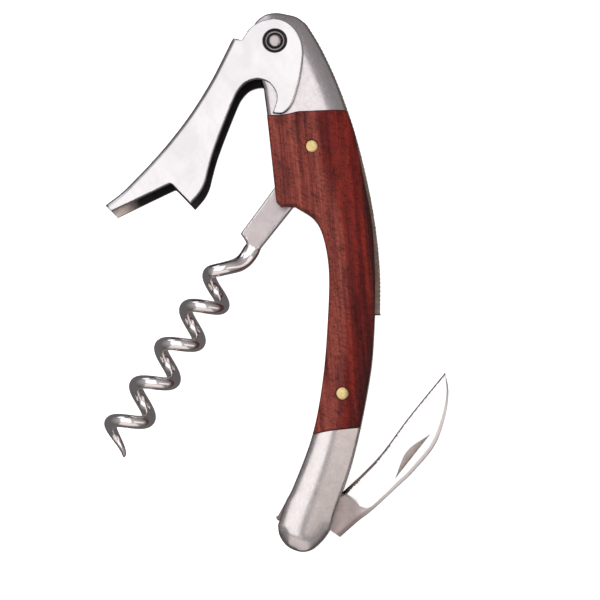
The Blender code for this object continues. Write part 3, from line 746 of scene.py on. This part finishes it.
def steel_material(name, colour, rough, turn, grain=0.1, worn=0.25, pale=None):
    """Ground or brushed steel: fine lines one way, clouds, brighter worn rims and scratches."""
    s = Shader(name)
    lines = s.noise((9.0, 0.35, turn, 9.0), 3.0, 0.65)
    clouds = s.noise((0.45, 0.45, turn, 0.45, 5.0), 4.0, 0.6, 0.6)
    mottle = s.noise((2.2, 1.1, turn, 2.2, 9.0), 3.0, 0.6)
    scratch = s.noise((3.2, 0.06, turn + 37, 3.2, 13.0), 2.0, 0.5)
    rim = s.mark("rim")

    tint = colour
    for pattern, share in ((lines, grain), (mottle, grain * 0.8)):
        tint = s.times(tint, s.ramp(pattern, [(0.3, 1.0 - share), (0.7, 1.0 + share)]))
    bright = tuple(min(1.0, c * 1.25 + 0.05) for c in colour)
    tint = s.mix(s.spread(rim, 0.28, 0.02, 0.0, worn), tint, bright)
    tint = s.mix(s.by(s.spread(scratch, 0.655, 0.7), 0.25), tint, bright)
    if pale:
        tint = s.mix(s.mark("pale"), tint, pale)

    gloss = s.plus(s.spread(clouds, 0.3, 0.7, rough - HAZE / 2, rough + HAZE / 2),
                   s.spread(lines, 0.3, 0.7, -HAZE / 3, HAZE / 3))
    gloss = s.by(gloss, s.spread(rim, 0.3, 0.0, 1.0, 0.75))
    s.set(Base_Color=tint, Metallic=1.0, Roughness=gloss)
    s.bump(s.plus(lines, s.by(mottle, 0.4)), 0.5, 0.004)
    return s.mat


def polished_material(name, colour, rough):
    """Buffed steel: faint swirls in the gloss, light wipe marks and a few hairline scratches."""
    s = Shader(name)
    swirl = s.noise((1.2, 0.25, 30.0, 1.2), 4.0, 0.6, 1.2)
    smear = s.noise((0.16, 0.1, -20.0, 0.16, 4.0), 3.0, 0.55, 0.5)
    hair = s.spread(s.noise((5.5, 0.05, -35.0, 5.5, 8.0), 2.0, 0.5), 0.66, 0.71)
    tint = s.times(colour, s.ramp(smear, [(0.36, 0.9), (0.6, 1.0)]))
    tint = s.mix(s.by(hair, 0.3), tint, tuple(c * 0.8 for c in colour))
    gloss = s.plus(s.spread(swirl, 0.3, 0.7, rough * 0.8, rough * 1.25),
                   s.spread(s.mark("rim"), 0.0, 0.4, rough * 0.2, 0.0))
    s.set(Base_Color=tint, Metallic=1.0, Roughness=gloss)
    s.bump(s.plus(s.by(swirl, 0.5), hair), 0.25, 0.002)
    return s.mat


def brass_material(name):
    s = Shader(name)
    file_marks = s.noise((6.0, 0.7, 35.0, 6.0), 3.0, 0.6)
    patch = s.noise((0.9, 0.9, 0.0, 0.9, 6.0), 3.0, 0.6)
    tint = s.ramp(patch, [(0.3, (0.46, 0.31, 0.115)), (0.5, (0.56, 0.43, 0.2)),
                          (0.72, (0.64, 0.53, 0.28))])
    tint = s.times(tint, s.ramp(file_marks, [(0.3, 0.86), (0.7, 1.08)]))
    tint = s.mix(s.spread(s.mark("rim"), 0.22, 0.0), tint, (0.36, 0.22, 0.07))
    s.set(Base_Color=tint, Metallic=1.0, Roughness=s.spread(file_marks, 0.3, 0.7, 0.26, 0.42))
    s.bump(file_marks, 0.4, 0.006)
    return s.mat


def shaded_inside_material(name):
    """The unpolished inside of the folded lever, in painted shade: near black, painted lighter
    towards the foot's open tip where light reaches in.
    """
    s = Shader(name)
    clouds = s.noise((0.5, 0.5, 0.0, 0.5), 4.0, 0.65, 0.8)
    specks = s.noise((3.5, 3.5, 0.0, 3.5, 3.0), 3.0, 0.6)
    # The first ramp is painted shade; the second is painted light, a warm grey, near the foot's
    # open tip.
    dark = s.ramp(clouds, [(0.3, (0.016, 0.014, 0.015)), (0.7, (0.04, 0.035, 0.036))])
    lit_near_tip = s.ramp(specks, [(0.3, (0.66, 0.58, 0.54)), (0.7, (0.84, 0.76, 0.71))])
    # The painted shade gives way to the lit warm grey between about 8.5 and 3 mm from the foot's
    # tip.
    tip = s.spread(s.plus(s.mark("tip"), s.by(clouds, 3.0)), 3.0, 8.5, 1.0, 0.0)
    s.set(Base_Color=s.mix(tip, dark, lit_near_tip), Metallic=0.85)
    s.set(Roughness=s.spread(specks, 0.3, 0.7, 0.42, 0.62))
    s.bump(s.plus(specks, clouds), 0.5, 0.02)
    return s.mat


MIRROR = polished_material("polished_lever", (0.575, 0.56, 0.565), 0.17)
CHROME = polished_material("polished_wire", (0.84, 0.8, 0.785), 0.13)
GROUND_FACE = polished_material("polished_blade", (0.66, 0.655, 0.65), 0.15)
SATIN = steel_material("satin_shank", (0.415, 0.37, 0.37), 0.36, 33.0, 0.05)
RICASSO = steel_material("satin_blade", (0.29, 0.24, 0.23), 0.38, 48.0, 0.06,
                         pale=(0.8, 0.76, 0.745))
NICK_FLOOR = steel_material("nick_floor", (0.36, 0.31, 0.285), 0.4, -38.0, 0.1)
HONED = steel_material("honed_edge", (0.13, 0.105, 0.095), 0.45, 50.0, 0.12)
BRUSHED_TOP = steel_material("brushed_top_bolster", (0.52, 0.485, 0.49), 0.26, -28.0, 0.09)
BRUSHED_TAIL = steel_material("brushed_tail_bolster", (0.55, 0.515, 0.505), 0.22, 20.0, 0.06)
SPRING_STEEL = steel_material("filed_spring", (0.15, 0.112, 0.09), 0.42, 80.0, 0.22, 0.15)
WASHER_STEEL = steel_material("dark_washer", (0.2, 0.185, 0.18), 0.26, 10.0, 0.12)
LINER_STEEL = steel_material("satin_liner", (0.42, 0.385, 0.375), 0.42, 80.0, 0.1)
# Painted shade inside the lever's fold and down its counterbores.
PAINTED_SHADE_INSIDE = shaded_inside_material("lever_painted_shade")
BRASS = brass_material("brass_pins")
WOOD_FRONT = wood_material("rosewood_front", 2.0)
WOOD_REAR = wood_material("rosewood_rear", 31.0)


# ---- handle

AXLE_HOLE = circle(LEVER_PIVOT, AXLE_R + FIXED_PLAY)
WORM_HOLE = circle(WORM_PIVOT, BRASS_R + BRASS_PLAY)
PIN_HOLE = circle(SCALE_PIN, BRASS_R + BRASS_PLAY)
BLADE_HOLE = circle(BLADE_PIVOT, BLADE_PIN_R + FIXED_PLAY)

# Lines that the covers fall towards. BACK_RUN leaves the outline and runs on past the tail.
BACK_LINE = dense(BACK + TAIL[:20], 1.0, False)
BACK_RUN = dense(BACK + [PAST_TAIL], 1.0, False)
BELLY_LINES = {lift: dense(joined(TAIL[28:], belly(lift), raised(LEFT_EDGE[:3], lift)), 1.0, False)
               for lift in (0.0, REAR_STEP_LIFT)}
TAIL_TIP = TAIL[8:42]

# From the middle outwards: the axle's domed head.
AXLE_HEAD = [
    (0.0, 6.12), (0.35, 6.118), (0.65, 6.107), (0.9, 6.085), (1.08, 6.05), (1.2, 6.0), (1.29, 5.93),
    (1.35, 5.85), (1.385, 5.75), (1.4, 5.62), (1.4, 5.4),
]
WASHER_R, WASHER_Z, WASHER_WIDE, WASHER_THICK = 1.98, 5.55, 0.26, 0.24
WASHER_FOOT = [(2.0, 5.29), (1.72, 5.29)]
NOTCH_PITCH, NOTCH_DEPTH, NOTCH_SHAPE, NOTCH_LEAN, NOTCH_SINK = 0.95, 0.13, 0.6, 0.9, 0.06

# Piece, node, place, radius, top, rise and rim of each pin, and its material.
SUNK = COVER_IN - 0.02
PINS = (
    ("rivet_upper", "spring_rivet_upper", SPRING_RIVETS[0], RIVET_R, SUNK, 0.02, 0.1, BRUSHED_TOP),
    ("rivet_lower", "spring_rivet_lower", SPRING_RIVETS[1], RIVET_R, SUNK, 0.02, 0.1, BRUSHED_TOP),
    ("rivet_liner", "liner_rivet", LINER_RIVET, RIVET_R, LINER_OUT, 0.02, 0.1, LINER_STEEL),
    ("pin_blade", "blade_pivot_pin", BLADE_PIVOT, BLADE_PIN_R, SUNK, 0.04, 0.1, BRUSHED_TAIL),
    ("pin_worm", "worm_pivot_pin", WORM_PIVOT, BRASS_R, SCALE_OUT - 0.01, 0.16, 0.12, BRASS),
    ("pin_scale", "scale_pin", SCALE_PIN, BRASS_R, SCALE_OUT - 0.2, 0.16, 0.12, BRASS),
)


def mirrored(sign, top):
    """Surfaces of a cover: the outside level above or below, and the inside next to the liner."""
    if sign > 0:
        return {"top": top, "bottom": at_level(COVER_IN)}
    return {"top": at_level(-COVER_IN), "bottom": lambda p: -top(p)}


def side_falls(points, lift):
    """How far the scale and the tail bolster fall beside the belly and beside the back."""
    slim = fade(points[:, 1], *SLIM_RUN)
    left = distance(points, BELLY_LINES[lift])
    beside = distance(points, BACK_RUN)
    fall = (rounded(left, *STEP_RIM) + rounded(left, *BELLY_RIM)) * (1 - slim)
    fall += rounded(left, *SLIM_BELLY_RIM) * slim
    fall += (slope(beside, *UPPER_LEAN) * (1 - slim) + slope(beside, *LOWER_LEAN) * slim
             + rounded(distance(points, BACK_LINE), *BACK_RIM))
    return fall


def nose_top(p):
    back = np.minimum(gap_to(p, BACK, 1.0), gap_to(p, nose_line(), 1.0))
    neck = gap_to(p, joined(LEFT_EDGE[2:], NECK_LINE), 1.0)
    joint = distance(p, top_joint(JOINT_GAP))
    return (TOP_BOLSTER_OUT - slope(back, *NOSE_LEAN) - rounded(back, *NOSE_RIM)
            - rounded(neck, *NECK_RIM) - rounded(joint, *TOP_JOINT_RIM))


def tail_top(p):
    tip = gap_to(p, TAIL_TIP, 0.5)
    joint = distance(p, tail_joint(-JOINT_GAP))
    beside = side_falls(p, 0.0) - TAIL_STAND
    ahead = slope(tip, *TIP_LEAN) + rounded(tip, *TIP_RIM)
    return TAIL_BOLSTER_OUT - np.hypot(beside, ahead) - rounded(joint, *TAIL_JOINT_RIM)


def add_side(side, sign, lift, wood):
    """One side of the handle: its scale, bolsters, liner and washer."""
    def wood_top(p):
        joints = np.minimum(distance(p, top_joint(0)), distance(p, tail_joint(0)))
        pins = np.minimum(distance(p, WORM_HOLE, True), distance(p, PIN_HOLE, True))
        return (SCALE_OUT - side_falls(p, lift) - rounded(joints, *WOOD_JOINT_RIM)
                - rounded(pins, *WOOD_PIN_RIM))

    def wood_marks(co):
        back = distance(co[:, :2], BACK_LINE)
        front = distance(co[:, :2], BELLY_LINES[lift])
        return {"back": back, "across": back / (back + front + 1e-6)}

    def cover(name, node, loops, top, mat, slot, deeper, **more):
        mesh = solid(loops, mirrored(sign, top), rings=RINGS + deeper, **more)
        piece(f"{name}_{side}", mesh, [mat], "handle", slot, f"{node}_{side}")

    cover("rosewood_scale", "wood_scale", [scale_loop(lift), WORM_HOLE, PIN_HOLE], wood_top,
          wood, "rosewood", (3.0, 3.8, 4.7), marks=wood_marks)
    cover("bolster_top", "top_bolster", [top_bolster_loop(), AXLE_HOLE], nose_top,
          BRUSHED_TOP, "brushed_steel", (2.8, 3.5), face_step=0.6)
    cover("bolster_tail", "tail_bolster", [tail_bolster_loop()], tail_top,
          BRUSHED_TAIL, "brushed_steel", (2.8, 3.4), face_step=0.55)

    low, high = sorted((sign * SLOT_HALF, sign * LINER_OUT))
    mesh = solid([handle_loop(lift), AXLE_HOLE, WORM_HOLE, PIN_HOLE, BLADE_HOLE],
                 {"top": at_level(high), "bottom": at_level(low)}, rings=(), face_step=4.0)
    piece(f"steel_liner_{side}", mesh, [LINER_STEEL], "handle", "brushed_steel", f"liner_{side}")

    piece(f"washer_{side}", washer_mesh(sign), [WASHER_STEEL], "handle", "polished_steel",
          f"lever_washer_{side}")


def washer_mesh(sign):
    """The washer round the axle's head: a rounded ring that sits in the counterbore."""
    def rim(start, count):
        turns = [math.radians(start - 22.5 * i) for i in range(count)]
        return [(WASHER_R + WASHER_WIDE * math.cos(a), WASHER_Z + WASHER_THICK * math.sin(a))
                for a in turns]

    section = rim(90, 9) + WASHER_FOOT + rim(180, 4)
    if sign < 0:
        section = [(r, -z) for r, z in reversed(section)]
    return turned_mesh(LEVER_PIVOT, section)


def notches(line):
    """Fine file notches, about a millimetre apart, along the spring's outer edge."""
    run, cut = 0.0, [line[0]]
    for (x0, y0), (x1, y1) in zip(line, line[1:]):
        step = math.dist((x0, y0), (x1, y1))
        run += step
        depth = NOTCH_DEPTH * abs(math.sin(math.pi * run / NOTCH_PITCH)) ** NOTCH_SHAPE
        nx, ny = (y1 - y0) / step, -(x1 - x0) / step
        cut.append((x1 + nx * depth * NOTCH_LEAN, y1 + ny * depth * NOTCH_LEAN))
    return [(x - NOTCH_SINK, y) for x, y in cut[:-1]] + [line[-1]]


def flat_plate(name, loops, mat, node, step=EDGE_STEP):
    """A layer as thick as the springs, with lightly rounded edges."""
    def top(p):
        return SPRING_HALF - rounded(distance(p, dense(loops[0], 0.5), True), *PLATE_RIM)

    mesh = solid(loops, two_sided(top), rings=(0.06, 0.14), step=step, face_step=2.5)
    piece(name, mesh, [mat], "handle", "brushed_steel", node)


def add_handle():
    add_side("front", 1, 0.0, WOOD_FRONT)
    add_side("rear", -1, REAR_STEP_LIFT, WOOD_REAR)

    flat_plate("spacer_nose", [nose_block_loop(), AXLE_HOLE], BRUSHED_TOP, "nose_block")
    filed = notches(dense(smooth(SPRING_BACK), 0.25, False))
    flat_plate("spring_worm", [joined(filed, smooth(SPRING_FRONT))], SPRING_STEEL, "worm_spring",
               step=0.3)
    blade_spring = joined(smooth(BLADE_SPRING_BELLY), BLADE_SPRING_END, smooth(BLADE_SPRING_INNER))
    flat_plate("spring_blade", [blade_spring, PIN_HOLE], SPRING_STEEL, "blade_spring")

    for name, node, *shape, mat in PINS:
        slot = "brass" if mat is BRASS else "brushed_steel"
        piece(name, pin_mesh(*shape), [mat], "handle", slot, node)
    piece("axle", turned_mesh(LEVER_PIVOT, both_ends(AXLE_HEAD)), [SATIN], "handle",
          "polished_steel", "lever_axle")


# ---- lever

def add_lever():
    web = smooth(LEVER_WEB)
    plain_side = joined(smooth(LEVER_HEAD, 6), smooth(LEVER_INNER, 6), LEVER_NOTCH)
    plain_lines = [dense(plain_side, 0.8, False), [web[-1]] + LEVER_SHOULDER + [LEVER_HEAD[0]],
                   [LEVER_NOTCH[-1], web[0]]]
    bore = circle(LEVER_PIVOT, AXLE_R + PIVOT_PLAY)
    seat = circle(LEVER_PIVOT, COUNTERBORE_R)
    inner = offset(web, WEB_THICKNESS)
    start = (inner[0][0] + ROOM_START[0], inner[0][1] + ROOM_START[1])
    end = (inner[-1][0] + ROOM_END[0], inner[-1][1] + ROOM_END[1])
    room = joined([start], inner, [end], ROOM_RIGHT)

    def top(p):
        plain = np.minimum.reduce([distance(p, line) for line in plain_lines])
        return (LEVER_OUT - rounded(gap_to(p, web, 0.5), *FOLD_RIM) - rounded(plain, *LEVER_RIM)
                - rounded(distance(p, seat, True), *SEAT_RIM))

    surfaces = {
        "front": top, "rear": lambda p: -top(p),
        "front_in": at_level(LEVER_IN), "rear_in": at_level(-LEVER_IN),
        "front_seat": at_level(SEAT), "rear_seat": at_level(-SEAT),
    }

    def spans(centres):
        plates = [("rear", "rear_in"), ("front_in", "front")]
        seats = [("rear_seat", "rear_in"), ("front_in", "front_seat")]
        return [seats if sunk else plates if hollow else [("rear", "front")]
                for hollow, sunk in zip(inside(centres, [room]), inside(centres, [seat]))]

    def paint(middles, normals):
        """Painted shade on what faces the room and down in the counterbores, polish on the rest."""
        height = np.abs(middles[:, 2])
        ahead = middles[:, :2] + normals[:, :2] * 0.2
        hidden = (height < LEVER_IN + 0.02) & inside(ahead, [room])
        well = inside(middles[:, :2], [circle(LEVER_PIVOT, COUNTERBORE_R + 0.02)])
        return hidden | (well & (height < LEVER_OUT - 0.3))

    def marks(co):
        return {"tip": np.hypot(co[:, 0] - FOOT_TIP[0], co[:, 1] - FOOT_TIP[1])}

    mesh = solid([joined(plain_side, web, LEVER_SHOULDER), bore], surfaces, spans,
                 lines=[([start] + inner + [end], False), (seat, True)], rings=RINGS[:6],
                 paint=paint, marks=marks)
    piece("folded_lever", mesh, [MIRROR, PAINTED_SHADE_INSIDE], "lever", "polished_steel", "lever")


# ---- worm

def helix_path():
    """The wire's centre line from inside the shank to the point."""
    lead = smooth(LEAD_IN, 10)[:-1]
    pivot = Vector((*WORM_PIVOT, 0.0))
    steps = round(HELIX_TURNS * STEPS_PER_TURN)
    coil = []
    for i in range(steps + 1):
        turns = HELIX_TURNS * i / steps
        angle = math.radians(START_ANGLE) + turns * math.tau
        slack = FIRST_COIL_SLACK * max(0.0, 1.0 - turns / SLACK_TURNS)
        along = HELIX_START + turns * PITCH + slack
        centre = pivot + WORM_DIRECTION * along + WORM_SIDE * WORM_OFFSET
        spoke = WORM_SIDE * math.cos(angle) + Vector((0, 0, 1)) * math.sin(angle)
        coil.append(tuple(centre + spoke * HELIX_R))
    path = np.array(lead + coil)
    for _ in range(EASING_PASSES):
        eased = path[1:-1] * 0.5 + (path[:-2] + path[2:]) * 0.25
        early = np.arange(1, len(path) - 1)[:, None] < EASED_POINTS
        path[1:-1] = np.where(early, eased, path[1:-1])
    return path


def past_neck(points):
    """How far points are past the shank's neck, along the worm's axis."""
    return (points[:, :2] - np.array(WORM_NECK)) @ np.array(WORM_DIRECTION.xy)


def wire_mesh(path):
    """The wire with its flattened start and its tapered point."""
    steps = np.linalg.norm(np.diff(path, axis=0), axis=1)
    left = np.concatenate([np.cumsum(steps[::-1])[::-1], [0.0]])
    run = left[0] - left
    radii = POINT_R + (WIRE_R - POINT_R) * np.minimum(1.0, left / POINT_LENGTH)
    radii[-4:] = radii[-4] * np.array(POINT_TAPER)
    flat = 1 - fade(run, *FLAT_RUN)
    wide = flat * fade(run, *WIDE_RUN)
    sizes = [(r * (1 + WIDER * w), r * (1 - FLATTER * f)) for r, f, w in zip(radii, flat, wide)]
    verts, polygons = tube(path, sizes)
    return new_mesh(verts, polygons, {"rim": np.full(len(verts), 2.0)}, 50)


def shank_mesh(path):
    """The flat shank, which sinks into the wire at its neck."""
    outline = joined(arc(WORM_PIVOT, TANG_R, 213, -40, 40), dense(SHANK_RIGHT, 2.0, False),
                     smooth(SHANK_END, 5), dense(SHANK_LEFT, 2.0, False))
    lead = [(x, y) for x, y, _ in path[:LEAD_POINTS]]
    edge = dense(outline, 0.6)

    def top(p):
        gap = distance(p, edge, True)
        plate = SHANK_HALF - slope(gap, *SHANK_LEAN) - rounded(gap, *SHANK_RIM)
        wire = 1.36 * np.sqrt(np.maximum(1 - (distance(p, lead) / 1.85) ** 2, 0.01))
        along = past_neck(p)
        share = fade(along, -1.2, 2.2)
        sink = 1 - 0.2 * fade(along, 1.6, 4.0)
        return (plate * (1 - share) + np.minimum(plate, wire) * share) * sink

    def paint(middles, normals):
        return (np.abs(normals[:, 2]) < 0.97) | (past_neck(middles) > 0.2)

    return solid([outline, circle(WORM_PIVOT, BRASS_R + PIVOT_PLAY)], two_sided(top),
                 rings=(0.08, 0.16, 0.3, 0.45, 0.7, 1.0), face_step=0.7, paint=paint, sharp=28)


def add_worm():
    path = helix_path()
    shank = shank_mesh(path)
    piece("worm_wire", wire_mesh(path), [CHROME], "worm", "polished_steel", "worm")
    piece("worm_shank", shank, [SATIN, CHROME], "worm", "polished_steel", "worm")


# ---- blade

def add_blade():
    spine, edge, border = smooth(BLADE_SPINE), smooth(BLADE_EDGE), smooth(GROUND)
    tang = arc(BLADE_PIVOT, BLADE_TANG_R, -65, -285, 30)
    loop = joined(spine, [BLADE_KICK], tang, edge)
    bore = circle(BLADE_PIVOT, BLADE_PIN_R + PIVOT_PLAY)
    ground = joined(border, BEYOND_EDGE)
    nick = joined(dense(NICK_CHORD[::-1], 0.5, False)[::-1],
                  smooth([NICK_CHORD[1], NICK_BULGE, NICK_CHORD[0]], 12))

    def face(p):
        """The flat at the spine and heel, and the hollow grind down to the edge."""
        to_edge, to_border = gap_to(p, edge, 0.8), gap_to(p, border, 0.6)
        share = to_edge / np.maximum(to_edge + to_border, 1e-6)
        tip = np.hypot(p[:, 0] - BLADE_EDGE[-1][0], p[:, 1] - BLADE_EDGE[-1][1])
        most = EDGE_HALF + (BLADE_HALF - EDGE_HALF) * np.clip(tip / 9.0, 0, 1) ** 0.6
        hollow = EDGE_HALF + (most - 0.03 - EDGE_HALF) * share ** 0.85
        flat = most - slope(gap_to(p, spine, 0.8), *SPINE_LEAN)
        return np.where(inside(p, [ground]), hollow, flat)

    def top(p):
        return face(p) - rounded(distance(p, dense(loop, 0.8), True), *BLADE_RIM)

    def nick_floor(p):
        across = gap_to(p, NICK_CHORD, 0.5)
        return face(p) - NICK_RIM - NICK_DEPTH * np.exp(-across / NICK_WIDTH)

    def spans(centres):
        return [[("rear", "nick")] if sunk else [("rear", "front")]
                for sunk in inside(centres, [nick])]

    def paint(middles, normals):
        """The ground face, then the plain faces and walls, the nick and the honed edge."""
        place = middles[:, :2]
        ground_face = inside(place, [ground]) & ~(np.abs(normals[:, 2]) < 0.5)
        sunk = inside(place, [nick]) & (middles[:, 2] > 0)
        heel = fade(middles[:, 0], 30.0, 9.0)
        honed = gap_to(place, edge, 0.5) < 0.38 + 0.45 * heel ** 3
        return np.where(honed, 3, np.where(sunk, 2, np.where(ground_face, 0, 1)))

    mesh = solid([loop, bore],
                 {"front": top, "rear": lambda p: -top(p), "nick": nick_floor}, spans,
                 lines=[(border, False), (nick, True)], rings=(0.1, 0.25, 0.35, 0.6, 0.9),
                 face_step=0.9, paint=paint, sharp=20,
                 marks=lambda co: {"pale": fade(co[:, 0], 11.5, 20.0)})
    piece("foil_blade", mesh, [GROUND_FACE, RICASSO, NICK_FLOOR, HONED], "blade",
          "polished_steel", "blade")


# ---- stage

def floor_material():
    s = Shader("pale_floor")
    fine = s.noise((0.2, 0.2), 2.0, 0.5)
    s.set(Base_Color=s.ramp(fine, [(0.3, 0.9), (0.7, 0.93)]), Roughness=0.9)
    s.set(Emission_Color=(1.0, 1.0, 1.0, 1.0), Emission_Strength=0.78)
    return s.mat


FLOOR_HALF = 3.0
WORLD_STOPS = [(0.0, (0.15, 0.14, 0.145)), (0.42, (0.3, 0.285, 0.295)), (1.0, (0.6, 0.58, 0.59))]

# Name, place, size, radiance, colour and aim of each light, in metres.
SOFTBOXES = (
    ("overhead", (-0.22, 0.22, 0.8), (0.78, 1.1), 1.12, (1.0, 0.995, 1.0), (-0.22, 0.22, 0)),
    ("warm_side", (0.72, -0.1, 0.62), (0.4, 0.9), 0.68, (1.0, 0.89, 0.82), (0, 0, 0)),
    ("warm_foot", (-0.05, -0.78, 0.52), (1.3, 0.92), 0.58, (1.0, 0.92, 0.87), (0, 0, 0)),
    ("cool_side", (-0.55, 0.98, 0.52), (0.6, 0.45), 1.25, (0.92, 0.91, 1.0), (0, 0, 0)),
)
EYE, LENS, SENSOR = (25.1, -48.9, 490.0), 133.14, 36.0


def add_stage():
    mesh = bpy.data.meshes.new("floor")
    mesh.from_pydata([(x * FLOOR_HALF, y * FLOOR_HALF, 0)
                      for x, y in ((-1, -1), (1, -1), (1, 1), (-1, 1))], [], [(0, 1, 2, 3)])
    mesh.materials.append(floor_material())
    floor = add_object("floor", mesh)
    floor.visible_glossy = False

    world = bpy.data.worlds.new("studio")
    world.use_nodes = True
    tree = world.node_tree
    split = tree.nodes.new("ShaderNodeSeparateXYZ")
    ramp = tree.nodes.new("ShaderNodeValToRGB")
    tree.links.new(tree.nodes.new("ShaderNodeTexCoord").outputs["Generated"], split.inputs[0])
    tree.links.new(split.outputs["Z"], ramp.inputs["Fac"])
    tree.links.new(ramp.outputs["Color"], tree.nodes["Background"].inputs["Color"])
    set_stops(ramp.color_ramp, WORLD_STOPS)
    scene.world = world

    for name, place, size, radiance, colour, aim in SOFTBOXES:
        light = bpy.data.lights.new(name, "AREA")
        light.shape = "RECTANGLE"
        light.size, light.size_y = size
        light.energy = radiance * math.pi * size[0] * size[1]
        light.color = colour
        obj = add_object(name, light)
        obj.location = place
        obj.rotation_mode = "QUATERNION"
        obj.rotation_quaternion = (Vector(aim) - Vector(place)).to_track_quat("-Z", "Y")


def add_camera():
    """The photograph's viewing angle: from in front, a little right of the part and below it."""
    eye = DATUM + Vector(EYE) * MM
    data = bpy.data.cameras.new("camera")
    data.lens, data.sensor_width = LENS, SENSOR
    data.clip_start, data.clip_end = 0.01, 10.0
    camera = add_object("camera", data)
    z = (eye - DATUM).normalized()
    x = Vector((0, 1, 0)).cross(z).normalized()
    y = z.cross(x)
    camera.matrix_world = Matrix.Translation(eye) @ Matrix((x, y, z)).transposed().to_4x4()
    scene.camera = camera


add_handle()
add_lever()
add_worm()
add_blade()
add_stage()
add_camera()
scene.view_settings.view_transform = "Standard"
